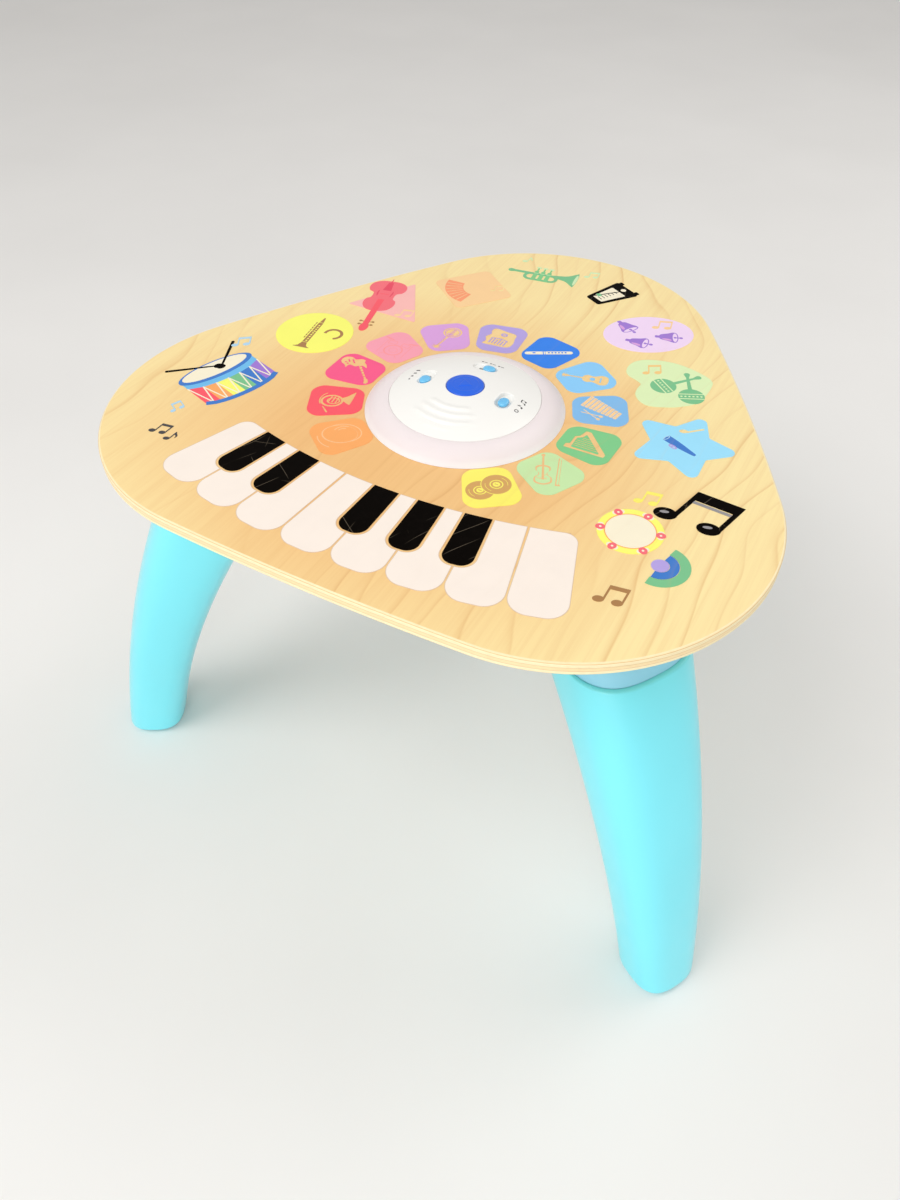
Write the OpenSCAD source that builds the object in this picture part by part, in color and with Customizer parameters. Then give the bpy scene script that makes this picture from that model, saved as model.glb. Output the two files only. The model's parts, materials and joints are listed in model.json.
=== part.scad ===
// Musical activity table for toddlers.
// A rounded three-cornered plywood board carries printed touch pads and a round control console.
// Three hollow curved legs push onto sockets that are screwed under the board.
// The keyboard side faces -Y. The origin is on the floor, at the centre of the object's footprint.

/* [Tabletop] */
// Height of the playing surface above the floor
table_h = 338; // [320:1:360]
// Thickness of the plywood board
board_t = 9; // [8:0.5:12]
// Distance from the table's axis to the middle of each corner
corner_reach = 250; // [242:1:254]
// Distance from the table's axis to the middle of each side
side_reach = 196; // [194:1:204]
// Radius of the board's rounded corners
corner_r = 136.7; // [125:0.1:141]
// Rounding of the board's upper and lower edges
edge_r = 1.5; // [0.5:0.1:2.5]
// Radius of the hole that takes the console
console_hole_r = 60; // [59:0.5:62]
// Thickness of the printed ink layers
ink_t = 0.2; // [0.1:0.05:0.4]

/* [Keyboard print] */
// Distance from the table's axis forward to the keys' inner ends
keys_y = 103; // [102:0.5:112]
// Radius of the keys' inner ends about the fan point
key_inner_r = 400; // [385:1:405]
// Length of a white key
white_key_l = 72.5; // [60:0.5:78]
// Length of a black key
black_key_l = 45; // [35:0.5:50]
// Angle from one white key to the next, in degrees
key_angle = 4.5; // [4:0.1:4.8]
// Number of white keys
white_keys = 8; // [6:1:8]
// Bare wood between two white keys
key_gap = 1.3; // [0.8:0.1:2.5]
// Width of a black key
black_key_w = 17.6; // [14:0.1:20]
// Radius of the corners at the outer end of a white key
white_key_round = 13; // [4:0.5:14]
// Radius of the inner corner at each end of the keyboard
end_key_round = 9; // [2:0.5:10]
// Radius of the corners at the outer end of a black key
black_key_round = 8; // [2:0.5:8.5]
// Bare wood and white border around a black key
black_key_border = 1.4; // [0.8:0.1:2.5]

/* [Pad prints] */
// Radius of the circle through the middles of the ring's pads
pad_ring_r = 92; // [92:0.5:97]
// How far the ring of pads lies behind the console's axis
pad_ring_y = 3.5; // [0:0.5:4]
// Width of a pad at its outer end
pad_outer_w = 38.5; // [34:0.5:42]
// Width of a pad at its inner end
pad_inner_w = 30; // [24:0.5:34]
// Length of a pad towards the axis
pad_l = 37.5; // [34:0.5:38]
// Radius of a pad's corners
pad_round = 9; // [3:0.5:10]
// Number of ring pads
ring_pads = 12; // [12:1:12]
// Angle from one ring pad to the next
pad_angle = 25.9; // [25:0.1:26]
// Direction of the middle of the row of ring pads
pad_row_angle = 89.4; // [88:0.1:92]
// Radius of the round outer pad
disc_r = 29.7; // [24:0.1:32]
// Side of the square outer pad
square_w = 49; // [40:0.5:52]
// Radius of the square outer pad's corners
square_round = 5; // [2:0.5:8]
// Half the length of the oval outer pad
oval_a = 34.8; // [28:0.1:38]
// Half the width of the oval outer pad
oval_b = 26.2; // [20:0.1:30]
// Reach of the star pad's tips
star_r = 39.5; // [33:0.5:41]
// Reach of the notches between the star pad's tips
star_notch_r = 20.44; // [17:0.1:22]
// Side of the triangular outer pad
triangle_w = 62; // [50:0.5:64]
// Size of the heart pad, from its notch side to its tip
heart_w = 52; // [44:0.5:54]

/* [Console] */
// Outer radius of the translucent light ring
ring_outer_r = 69.6; // [67:0.1:71]
// Radius of the seam between the light ring and the cap
cap_r = 52.6; // [51:0.1:54]
// Height of that seam above the board
cap_seam_z = 9.3; // [8:0.1:11]
// Height of the cap's crown above the board
cap_crown_z = 18.5; // [17.5:0.1:20]
// Radius of the light ring's convex slope in section
ring_bulge_r = 26; // [22:0.5:40]
// Wall of the light ring
ring_wall = 2.4; // [1.6:0.1:3]
// Wall of the cap
cap_wall = 2.2; // [1.8:0.1:2.6]
// Radius of the start button
button_r = 13; // [11:0.1:14]
// How far the start button stands above the cap's crown
button_proud = 1.1; // [0.5:0.1:2]
// Travel of the start button
button_travel = 1.2; // [0.6:0.1:1.5]
// Distance from the axis to the middle of each slider
slider_reach = 30; // [28.5:0.1:31]
// Length of a slider's recess
slot_l = 18; // [16.5:0.1:19]
// Width of a slider's recess
slot_w = 10; // [9.4:0.1:11]
// Length of a slider's knob
knob_l = 9; // [7:0.1:9.8]
// Width of a slider's knob
knob_w = 7; // [6:0.1:8]
// How far a slider moves to each side of the middle of its recess
slider_travel = 3; // [2:0.1:3.2]
// Depth of a slider's recess below the cap's surface at its middle
recess_depth = 2.4; // [1.8:0.1:2.8]

/* [Legs] */
// Distance from the table's axis to the middle of each foot
foot_reach = 287; // [278:1:294]
// Lean of a leg at the foot, in degrees
foot_lean = 12.2; // [10:0.1:14]
// Radius of the leg's bend
leg_bend_r = 930; // [850:5:1100]
// Half the depth of the foot
foot_half_depth = 24; // [22:0.5:27]
// Half the width of the foot
foot_half_width = 25; // [23:0.5:28]
// Half the depth of the leg at its rim, square to its lean
rim_half_depth = 37; // [35:0.5:39]
// Half the width of the leg at its rim
rim_half_width = 44.2; // [42:0.1:47]
// Distance from the playing surface down to the leg's rim
rim_drop = 64; // [58:1:70]
// Wall of a leg
leg_wall = 3; // [2.4:0.1:4]
// Length of the socket's spigot inside the leg
spigot_l = 36; // [28:1:44]
// How far the leg's rim stands proud of the socket above it
rim_step = 2.5; // [1.5:0.1:3.5]
// Wall of a socket
socket_wall = 3; // [2.4:0.1:4]
// Thickness of the socket's flange under the board
flange_t = 3.5; // [3:0.5:5]
// How far the flange reaches past the socket on each side
flange_ear = 13; // [12:0.5:16]
// Thickness of the foot pads
foot_pad_t = 2; // [1.5:0.1:3]
// How far the foot pads stand below the legs
foot_pad_proud = 0.8; // [0.5:0.1:1.2]

/* [Base housing] */
// Outer radius of the housing under the board
housing_r = 84; // [80:0.5:86]
// Depth of the housing below the board
housing_depth = 36.6; // [36:0.1:42]
// Bare wood between the touch film and the board's edge
film_margin = 18; // [12:1:20]
// Wall of the housing
housing_wall = 2.5; // [2:0.1:3]
// Thickness of the housing's floor
housing_floor = 3.5; // [3.2:0.1:4.5]
// Distance from the axis back to the middle of the speaker
speaker_y = 42; // [38:0.5:46]
// Outer radius of the speaker
speaker_r = 28.5; // [25:0.5:30]
// Distance from the axis forward to the middle of the battery bay
bay_y = 35; // [33:0.5:38]
// Thickness of the battery door
door_t = 2; // [1.6:0.1:2.2]

/* [Batteries] */
// Radius of a battery
cell_r = 7.1; // [6.9:0.05:7.3]
// Length of a battery
cell_l = 50; // [48:0.5:51]
// Number of batteries
cells = 3; // [2:1:3]
// Radius of a battery spring at its narrow end
spring_tip_r = 3; // [2.4:0.1:3.6]
// Radius of a battery spring at its wide end
spring_foot_r = 5; // [4:0.1:5.6]
// Radius of a battery spring's wire
spring_wire_r = 0.4; // [0.3:0.05:0.5]

/* [Fasteners and clearances] */
// Shank radius of the wood screws
wood_screw_r = 1.9; // [1.5:0.1:2.2]
// Depth of the wood screws in the board
wood_screw_bite = 6.5; // [5:0.5:7]
// Shank radius of the machine screws
screw_r = 1.5; // [1.2:0.1:1.6]
// Gap between pieces that move against each other
slide_gap = 0.3; // [0.2:0.05:0.5]
// Gap around a screw's shank
screw_gap = 0.05; // [0.02:0.01:0.1]
// Gap between a leg and its spigot
spigot_gap = 0.4; // [0.3:0.05:0.8]

/* [Hidden] */
$fn = 72;

cut = 1;                                   // how far a cutting shape runs past a face
corner_angles = [90, 210, 330];            // rear, left and right corner

// Board outline: a wide arc along each side, tangent to the three corner arcs.
corner_d = corner_reach - corner_r;
side_drop = corner_d / 2 - side_reach;
side_arc_r = (corner_r * corner_r - side_drop * side_drop - 0.75 * corner_d * corner_d)
    / (2 * (side_drop + corner_r));
side_half = atan(corner_d * cos(30) / (side_arc_r + side_drop));
side_steps = 10;
corner_steps = 26;
edge_steps = 3;

// Middles of the outer pads about the console's axis, and how far four of them are turned
disc_at = [-149, 32.5, 0];
triangle_at = [-120.5, 101, 0];
square_at = [-75, 153, 0];
oval_at = [76.6, 154.4, 0];
heart_at = [109, 95, 0];
star_at = [146.3, 31, 0];
square_turn = -38.7;
oval_turn = 35;
heart_turn = 34;
star_turn = 12.6;

// Levels are counted from the playing surface, which is zero.
board_under = -board_t;
film_t = 0.4;
housing_top = board_under - film_t;
housing_bottom = housing_top - housing_depth;
housing_floor_top = housing_bottom + housing_floor;

// Leg shape: horizontal sections about a bent centre line, counted up from the floor.
rim_h = table_h - rim_drop;
board_under_h = table_h - board_t;
leg_bottom_h = foot_pad_proud;
spigot_h = rim_h - spigot_l;
leg_power = 2.8;                           // roundness of the sections, between oval and square
leg_sides = 36;
foot_round = 5;
rim_round = 1.2;
swell = 1.4;                               // how late along the leg its depth grows
function leg_lean(h) = asin(h / leg_bend_r + sin(foot_lean));
function leg_reach(h) = foot_reach - leg_bend_r * (cos(foot_lean) - cos(leg_lean(h)));
function leg_half_depth(h) =
    (foot_half_depth + (rim_half_depth - foot_half_depth) * pow(h / rim_h, swell)) / cos(leg_lean(h));
function leg_half_width(h) = foot_half_width + (rim_half_width - foot_half_width) * h / rim_h;
foot_steps = [for (a = [0 : 30 : 90]) [leg_bottom_h + foot_round * (1 - cos(a)), foot_round * (1 - sin(a))]];
rear_reach = max([for (s = foot_steps) leg_reach(s[0]) + leg_half_depth(s[0]) - s[1]]);
axis_y = (side_reach - rear_reach) / 2;    // puts the middle of the footprint at the origin
pad_inset = 6;

// Console levels
cap_sphere_r = (cap_r * cap_r + pow(cap_crown_z - cap_seam_z, 2)) / (2 * (cap_crown_z - cap_seam_z));
function cap_z(r) = cap_crown_z - cap_sphere_r + sqrt(cap_sphere_r * cap_sphere_r - r * r);
function cap_under_z(r) = cap_crown_z - cap_sphere_r + sqrt(pow(cap_sphere_r - cap_wall, 2) - r * r);
ledge_t = 1.8;
ledge_z = cap_seam_z - 3.2;                // top of the light ring's ledge, which carries the cap
board_pcb_t = 1.6;
control_r = 38.5;
control_top = cap_under_z(slider_reach) - 8.4;
control_under = control_top - board_pcb_t;
post_z = -6;                               // where the cap's posts meet the housing's columns
post_r = 4.5;
column_r = 6.5;
column_reach = 44.5;
screw_seat = 16;                           // depth of the sunk seats of the console's screws
screw_seat_r = 3.4;
column_angles = [25, 155, 205, 335];
ledge_in = column_reach + post_r + 0.3;    // the ring's ledge stays clear of the posts
stud_angles = [45, 135, 290];              // short studs that hold the control board
stud_reach = 34;
stud_r = 3;
led_board_in = control_r;
led_board_out = console_hole_r - 3;
led_r = 54.3;
leds = 12;

// Sliders: name order is volume (left), mode (rear) and sound (right)
slider_angles = [180, 90, 0];
slider_rest = [-slider_travel, slider_travel, -slider_travel / 2];
recess_z = cap_z(slider_reach) - recess_depth;
recess_floor_t = 1.4;
stem_w = 2.4;
stem_l = 3;
stem_bite = 2.2;                           // how deep a knob's stem reaches into its switch
stem_room = stem_l + 2 * slider_travel + 2 * slide_gap;
knob_proud = 0.6;                          // how far a knob stands above the middle of its recess
switch_w = 6;
switch_l = 13;
switch_top = recess_z - recess_floor_t - 0.8;

// Start button
flange_z = cap_under_z(button_r + 2) - slide_gap - 0.1;
button_flange_t = 1.4;
switch_h = 3.6;
plunger_r = 1.75;
plunger_bite = 0.8;                        // how deep the plunger sits in its switch at rest
button_stem_r = 3;

// Battery bay, under the front half of the console
cell_gap = 0.5;
cell_pitch = 2 * cell_r + cell_gap;
spring_room = 6;
bay_l = cell_l + spring_room + 3;
bay_w = cells * cell_pitch + 1.2;
bay_wall = 1.8;
door_top = housing_bottom + door_t;
cell_z = door_top + 0.4 + cell_r;
bay_roof = cell_z + cell_r + 0.4;
door_lap = 3;
door_screw_y = -bay_y - bay_w / 2 - 4;
boss_r = 4.5;
contact_t = 0.4;
tag_w = 5;
tag_rise = 3;
function cell_dy(i) = (i - (cells - 1) / 2) * cell_pitch;

// Speaker
speaker_depth = 11;
speaker_rim_t = 1.5;
magnet_r = 12;
magnet_t = 8;
speaker_ear = 3.5;
speaker_screw_angles = [30, 150, 270];
speaker_screw_bite = 2.8;
terminal_h = 8;

// Lead routes, as points chosen by hand, in millimetres from the console's axis at board level
wire_d = 1.4;
wire_pitch = 2.4;                          // from one lead of a pair to the other
lead_straight = 1.5;                       // how far a lead runs straight up at each end
speaker_lead = [[-15, 22, -26], [-15, 15, -14], [-14, 9, -5]];
battery_lead = [[28, -33, -20], [25, -24, -12], [20, -14, -4]];
led_lead = [[-38.5, -5, -1.4], [-36, -5, 0.2]];

function polar(r, a) = [r * cos(a), r * sin(a)];
function turned(p, a) = [p[0] * cos(a) - p[1] * sin(a), p[0] * sin(a) + p[1] * cos(a)];
function unit(v) = v / norm(v);
function signed_power(v, e) = sign(v) * pow(abs(v), e);

// One third of the board's outline, moved in by an inset
function board_third(inset) = concat(
    [for (i = [0 : side_steps - 1])
        [0, side_arc_r - side_reach]
        + polar(side_arc_r - inset, -90 + side_half * (2 * i / side_steps - 1))],
    [for (i = [0 : corner_steps - 1])
        polar(corner_d, -30)
        + polar(corner_r - inset, -90 + side_half + (120 - 2 * side_half) * i / corner_steps)]);
function board_outline(inset) = [for (k = [0 : 2]) each [for (p = board_third(inset)) turned(p, 120 * k)]];

// Corner points of a polygon rounded with arcs of one radius; the corners run anticlockwise
function rounded(points, r, steps = 6) = [for (i = [0 : len(points) - 1])
    let (
        before = points[(i + len(points) - 1) % len(points)],
        here = points[i],
        after = points[(i + 1) % len(points)],
        u = unit(before - here),
        v = unit(after - here),
        half = acos(u * v) / 2,
        centre = here + unit(u + v) * r / sin(half),
        middle = atan2(here[1] - centre[1], here[0] - centre[0]),
        bend = (u[0] * v[1] - u[1] * v[0]) < 0 ? 1 : -1)
    each [for (k = [0 : steps]) centre + polar(r, middle + bend * (90 - half) * (2 * k / steps - 1))]];

// A closed solid through a list of rings that all have as many points
module loft(rings) {
    n = len(rings[0]);
    last = (len(rings) - 1) * n;
    polyhedron(
        points = [for (ring = rings) each ring],
        faces = concat(
            [[for (i = [0 : n - 1]) i]],
            [[for (i = [n - 1 : -1 : 0]) last + i]],
            [for (j = [0 : len(rings) - 2], i = [0 : n - 1])
                [j * n + i, (j + 1) * n + i, (j + 1) * n + (i + 1) % n]],
            [for (j = [0 : len(rings) - 2], i = [0 : n - 1])
                [j * n + i, (j + 1) * n + (i + 1) % n, j * n + (i + 1) % n]]),
        convexity = 6);
}

// A round lead along a smooth curve, which leaves its start and meets its end straight upwards
function curve_point(a, b, c, d, t) =
    0.5 * (2 * b + (c - a) * t + (2 * a - 5 * b + 4 * c - d) * t * t + (3 * b - a - 3 * c + d) * t * t * t);
function curve(p, steps = 4) = concat(
    [for (i = [0 : len(p) - 2], k = [0 : steps - 1])
        curve_point(p[max(i - 1, 0)], p[i], p[i + 1], p[min(i + 2, len(p) - 1)], k / steps)],
    [p[len(p) - 1]]);
module lead(start, route, end) {
    rise = [0, 0, lead_straight];
    path = concat([start], curve(concat([start + rise], route, [end - rise])), [end]);
    loft([for (i = [0 : len(path) - 1])
        let (
            t = unit(path[min(i + 1, len(path) - 1)] - path[max(i - 1, 0)]),
            u = unit(cross([1, 0, 0], t)),
            v = cross(t, u))
        [for (a = [0 : 45 : 315]) path[i] + (u * cos(a) + v * sin(a)) * wire_d / 2]]);
}

// Places its children on the console's axis at the level of the playing surface
module on_table() {
    translate([0, axis_y, table_h]) children();
}

// A slab with half-round ends, standing on z = 0 and lying along Y
module stadium(l, w, h) {
    for (s = [-1, 1]) translate([0, s * (l - w) / 2, 0]) cylinder(d = w, h = h);
    translate([-w / 2, -(l - w) / 2, 0]) cube([w, l - w, h]);
}

// A pan-head screw that points up, with the underside of its head at z = 0
module screw(r, l, head_r, head_h) {
    cylinder(r = r, h = l);
    translate([0, 0, -head_h]) difference() {
        cylinder(r = head_r, h = head_h);
        for (a = [0, 90]) rotate(a)
            translate([-head_r / 2, -head_r / 8, -cut]) cube([head_r, head_r / 4, cut + head_h / 2]);
    }
}

// ---- Tabletop and its prints ----

module tabletop() {
    levels = concat(
        [for (i = [0 : edge_steps]) let (a = 90 * i / edge_steps)
            [edge_r * (1 - sin(a)), board_under + edge_r * (1 - cos(a))]],
        [for (i = [0 : edge_steps]) let (a = 90 * i / edge_steps)
            [edge_r * (1 - cos(a)), -edge_r * (1 - sin(a))]]);
    color("burlywood") on_table() difference() {
        loft([for (s = levels) [for (p = board_outline(s[0])) [p[0], p[1], s[1]]]]);
        translate([0, 0, board_under - cut]) cylinder(r = console_hole_r, h = board_t + 2 * cut, $fn = 144);
        socket_screw_places()
            translate([0, 0, board_under - cut])
                cylinder(r = wood_screw_r + screw_gap, h = wood_screw_bite + cut + 0.5, $fn = 24);
    }
}

// A sector of the keyboard's fan, from the angle a0 to the angle a1 about the fan point. Its outer corners
// have end_round, and its inner ones have a radius of their own each, at a0 and at a1.
function fan_sector(a0, a1, r0, r1, end_round, inner_rounds = [0, 0]) =
    let (
        tip = end_round / r1 * 180 / PI,
        rise = r1 - end_round,
        third = (a1 - a0) / 3,
        inner_tips = inner_rounds / r0 * 180 / PI)
    concat(
        fan_corner(r0 + inner_rounds[1], a1 - inner_tips[1], inner_rounds[1], 0, a1),
        [for (k = [2, 1]) fan_point(r0, a0 + k * third)],
        fan_corner(r0 + inner_rounds[0], a0 + inner_tips[0], inner_rounds[0], 90, a0),
        fan_corner(rise, a0 + tip, end_round, 180, a0),
        fan_corner(rise, a1 - tip, end_round, 270, a1));
function fan_corner(r, a, radius, start, turn) = radius == 0
    ? [fan_point(r, a)]
    : [for (k = [0 : 6]) fan_point(r, a) + turned(polar(radius, start + 15 * k), turn)];
function fan_point(r, a) = [r * sin(a), fan_y - r * cos(a)];

fan_y = key_inner_r - keys_y;               // the point that the keys fan out from
black_key_half = black_key_w / (2 * key_inner_r) * 180 / PI;
border_half = (black_key_w / 2 + black_key_border) / key_inner_r * 180 / PI;
gap_half = key_gap / (2 * key_inner_r) * 180 / PI;
black_key_angles = [for (k = [-3, -2, 0, 1, 2]) k * key_angle];

module white_key_prints() {
    color("linen") on_table() difference() {
        for (k = [0 : white_keys - 1]) let (a = (k - white_keys / 2) * key_angle)
            linear_extrude(ink_t) polygon(fan_sector(
                a + gap_half,
                a + key_angle - gap_half,
                key_inner_r,
                key_inner_r + white_key_l,
                white_key_round,
                [k == 0 ? end_key_round : 0, k == white_keys - 1 ? end_key_round : 0]));
        for (a = black_key_angles)
            translate([0, 0, -cut]) linear_extrude(ink_t + 2 * cut) polygon(fan_sector(
                a - border_half, a + border_half, key_inner_r - cut,
                key_inner_r + black_key_l + black_key_border, black_key_round + black_key_border));
    }
}

module black_key_prints() {
    color("black") on_table()
        for (a = black_key_angles)
            linear_extrude(ink_t) polygon(fan_sector(
                a - black_key_half,
                a + black_key_half,
                key_inner_r,
                key_inner_r + black_key_l,
                black_key_round));
}

module ring_pad_prints() {
    tile = rounded([
        [-pad_l / 2, -pad_inner_w / 2],
        [pad_l / 2, -pad_outer_w / 2],
        [pad_l / 2, pad_outer_w / 2],
        [-pad_l / 2, pad_inner_w / 2]], pad_round);
    color("deepskyblue") on_table()
        for (k = [0 : ring_pads - 1]) let (a = pad_row_angle + (k - (ring_pads - 1) / 2) * pad_angle)
            translate([0, pad_ring_y, 0]) rotate(a) translate([pad_ring_r, 0, 0])
                linear_extrude(ink_t) polygon(tile);
}

module outer_pad_prints() {
    star = [for (k = [0 : 9]) polar(k % 2 == 0 ? star_r : star_notch_r, 36 * k)];
    triangle = [for (k = [0 : 2]) polar(triangle_w / sqrt(3), 90 + 120 * k)];
    square_half = square_w / 2;
    color("khaki") on_table() {
        translate(disc_at) cylinder(r = disc_r, h = ink_t);
        translate(triangle_at) linear_extrude(ink_t) polygon(triangle);
        translate(square_at) rotate(square_turn) linear_extrude(ink_t) polygon(rounded([
            [-square_half, -square_half],
            [square_half, -square_half],
            [square_half, square_half],
            [-square_half, square_half]], square_round));
        translate(oval_at) rotate(oval_turn) linear_extrude(ink_t)
            polygon([for (a = [0 : 7.5 : 352.5]) [oval_a * cos(a), oval_b * sin(a)]]);
        translate(heart_at) rotate(heart_turn) linear_extrude(ink_t) heart_shape();
        translate(star_at) rotate(star_turn) linear_extrude(ink_t) polygon(star);
    }
}

// Two round lobes that run into a point along +X
module heart_shape() {
    lobe = heart_w * 0.3;
    tip = [heart_w * 0.68, 0];
    for (s = [-1, 1]) translate([-heart_w * 0.08, s * lobe * 0.92]) circle(r = lobe);
    polygon([
        tip,
        [heart_w * 0.14, lobe * 1.66],
        [-heart_w * 0.08, lobe * 0.5],
        [-heart_w * 0.2, 0],
        [-heart_w * 0.08, -lobe * 0.5],
        [heart_w * 0.14, -lobe * 1.66]]);
}

// ---- Console ----

slope_chord = [cap_r - ring_outer_r, cap_seam_z];
slope_centre = [ring_outer_r, 0] + slope_chord / 2
    + [-slope_chord[1], slope_chord[0]] / norm(slope_chord)
    * sqrt(ring_bulge_r * ring_bulge_r - slope_chord * slope_chord / 4);

module light_ring() {
    collar_r = console_hole_r - 0.4;
    lip_t = 2;
    color("lavender") on_table() rotate_extrude($fn = 144) {
        intersection() {
            difference() {
                translate(slope_centre) circle(r = ring_bulge_r, $fn = 180);
                translate(slope_centre) circle(r = ring_bulge_r - ring_wall, $fn = 180);
            }
            translate([cap_r + 0.1, 0]) square([ring_outer_r - cap_r, cap_seam_z + cut]);
        }
        translate([ledge_in, ledge_z - ledge_t]) square([cap_r - ledge_in + 3, ledge_t]);
        translate([collar_r - ring_wall, board_under + cut])
            square([ring_wall, ledge_z - board_under - cut - ledge_t / 2]);
        translate([cap_r + 0.1, ledge_z - ledge_t]) square([collar_r - cap_r, ledge_t]);
        translate([cap_r + 0.1, ledge_z - ledge_t])
            square([lip_t, cap_seam_z - ledge_z + ledge_t - ring_wall / 2]);
    }
}

module slider_places() {
    for (a = slider_angles) rotate(a) translate([slider_reach, 0, 0]) children();
}

// The ball that the cap's outside is cut from, moved in by an inset
module cap_ball(inset) {
    translate([0, 0, cap_crown_z - cap_sphere_r]) sphere(r = cap_sphere_r - inset, $fn = 360);
}

module console_cap() {
    rim_r = cap_r - 0.1;
    color("white") on_table() difference() {
        union() {
            intersection() {
                difference() {
                    cap_ball(0);
                    cap_ball(cap_wall);
                }
                cylinder(r = rim_r, h = cap_crown_z + cut, $fn = 144);
            }
            translate([0, 0, ledge_z]) difference() {
                cylinder(r = rim_r, h = cap_seam_z - ledge_z - 0.2, $fn = 144);
                translate([0, 0, -cut]) cylinder(r = rim_r - cap_wall, h = cap_seam_z, $fn = 144);
            }
            intersection() {
                cap_ball(cap_wall / 4);
                union() {
                    for (a = column_angles) rotate(a) translate([column_reach, 0, post_z])
                        cylinder(r = post_r, h = cap_crown_z - post_z);
                    for (a = stud_angles) rotate(a) translate([stud_reach, 0, control_top])
                        cylinder(r = stud_r, h = cap_crown_z - control_top);
                    slider_places() translate([0, 0, recess_z - recess_floor_t])
                        stadium(slot_l + 2 * cap_wall, slot_w + 2 * cap_wall, cap_crown_z);
                }
            }
        }
        translate([0, 0, cap_seam_z]) cylinder(r = button_r + slide_gap, h = cap_crown_z);
        slider_places() {
            translate([0, 0, recess_z]) stadium(slot_l, slot_w, cap_crown_z);
            translate([0, 0, recess_z - recess_floor_t - cut])
                stadium(stem_room, stem_w + 2 * slide_gap, recess_floor_t + 2 * cut);
        }
        for (a = column_angles) rotate(a) translate([column_reach, 0, post_z - cut])
            cylinder(r = screw_r + screw_gap, h = 12 + cut, $fn = 24);
        for (a = stud_angles) rotate(a) translate([stud_reach, 0, control_top - cut])
            cylinder(r = screw_r + screw_gap, h = 4.5 + cut, $fn = 24);
    }
}

module play_button() {
    crown = cap_crown_z + button_proud;
    dome_r = 90;
    color("royalblue") on_table() {
        intersection() {
            translate([0, 0, crown - dome_r]) sphere(r = dome_r, $fn = 240);
            translate([0, 0, flange_z - button_flange_t]) cylinder(r = button_r, h = crown);
        }
        translate([0, 0, flange_z - button_flange_t]) cylinder(r = button_r + 1.6, h = button_flange_t);
        translate([0, 0, plunger_top]) cylinder(r = button_stem_r, h = flange_z - plunger_top);
    }
}

plunger_top = control_top + switch_h + button_travel + 0.4;
module play_switch_plunger() {
    color("dimgray") on_table()
        translate([0, 0, control_top + switch_h - plunger_bite])
            cylinder(r = plunger_r, h = plunger_top - control_top - switch_h + plunger_bite);
}

module play_switch() {
    color("silver") on_table() difference() {
        translate([-3.5, -3.5, control_top]) cube([7, 7, switch_h]);
        translate([0, 0, control_top + switch_h - plunger_bite - button_travel - slide_gap])
            cylinder(r = plunger_r + slide_gap / 3, h = switch_h);
    }
}

// A knob and its stem; i picks the slider
module slider_knob(i) {
    color("deepskyblue") on_table() rotate(slider_angles[i]) translate([slider_reach, 0, 0])
        rotate(-slider_angles[i]) translate(i == 1 ? [slider_rest[i], 0, 0] : [0, slider_rest[i], 0])
            rotate(i == 1 ? 90 : 0) {
                translate([0, 0, recess_z + slide_gap])
                    stadium(knob_l, knob_w, recess_depth + knob_proud - slide_gap);
                translate([0, 0, switch_top - stem_bite])
                    stadium(stem_l, stem_w, recess_z + slide_gap - switch_top + stem_bite + 0.2);
            }
}
module volume_knob() { slider_knob(0); }
module mode_knob() { slider_knob(1); }
module sound_knob() { slider_knob(2); }

module slide_switches() {
    color("silver") on_table() slider_places() difference() {
        translate([-switch_w / 2, -switch_l / 2, control_top])
            cube([switch_w, switch_l, switch_top - control_top]);
        translate([-stem_w / 2 - slide_gap, -stem_room / 2, switch_top - stem_bite - slide_gap])
            cube([stem_w + 2 * slide_gap, stem_room, stem_bite + slide_gap + cut]);
    }
}

module control_board() {
    color("darkgreen") on_table() translate([0, 0, control_under]) difference() {
        cylinder(r = control_r, h = board_pcb_t);
        for (a = stud_angles) rotate(a) translate([stud_reach, 0, -cut])
            cylinder(r = screw_r + screw_gap, h = board_pcb_t + 2 * cut, $fn = 24);
    }
}

module board_screws() {
    color("silver") on_table() for (a = stud_angles) rotate(a)
        translate([stud_reach, 0, control_under]) screw(screw_r, board_pcb_t + 4, 2.6, 1.6);
}

module led_board() {
    color("darkgreen") on_table() translate([0, 0, post_z]) difference() {
        cylinder(r = led_board_out, h = board_pcb_t, $fn = 144);
        translate([0, 0, -cut]) cylinder(r = led_board_in, h = board_pcb_t + 2 * cut);
        for (a = column_angles) rotate(a) translate([column_reach, 0, -cut])
            cylinder(r = post_r + slide_gap, h = board_pcb_t + 2 * cut);
    }
}

module ring_leds() {
    color("ivory") on_table() for (k = [0 : leds - 1]) rotate((k + 0.5) * 360 / leds)
        translate([led_r - 1.4, -1.7, post_z + board_pcb_t]) cube([2.8, 3.4, 1.6]);
}

// ---- Parts under the board ----

// Notches that keep the touch film clear of the sockets, open towards the board's corners
module socket_notches(gap) {
    for (a = corner_angles) rotate(a)
        translate([leg_reach(board_under_h) - socket_half_l - gap, -flange_half_w - gap])
            square([corner_reach, 2 * (flange_half_w + gap)]);
}

module touch_film() {
    color("goldenrod") on_table() translate([0, 0, housing_top]) linear_extrude(film_t) difference() {
        polygon(board_outline(film_margin));
        circle(r = console_hole_r, $fn = 144);
        socket_notches(1);
    }
}

module sensor_ribbon() {
    ribbon_w = 12;
    front = sqrt(console_hole_r * console_hole_r - ribbon_w * ribbon_w / 4);
    bend_y = 0.9 * control_r;
    color("goldenrod") on_table() {
        translate([-ribbon_w / 2, -front, housing_top]) cube([ribbon_w, front - bend_y + film_t, film_t]);
        translate([-ribbon_w / 2, -bend_y, housing_top]) cube([ribbon_w, film_t, control_under - housing_top]);
    }
}

module housing_columns(r) {
    for (a = column_angles) rotate(a) translate([column_reach, 0, housing_bottom])
        cylinder(r = r, h = post_z - housing_bottom);
}

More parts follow.
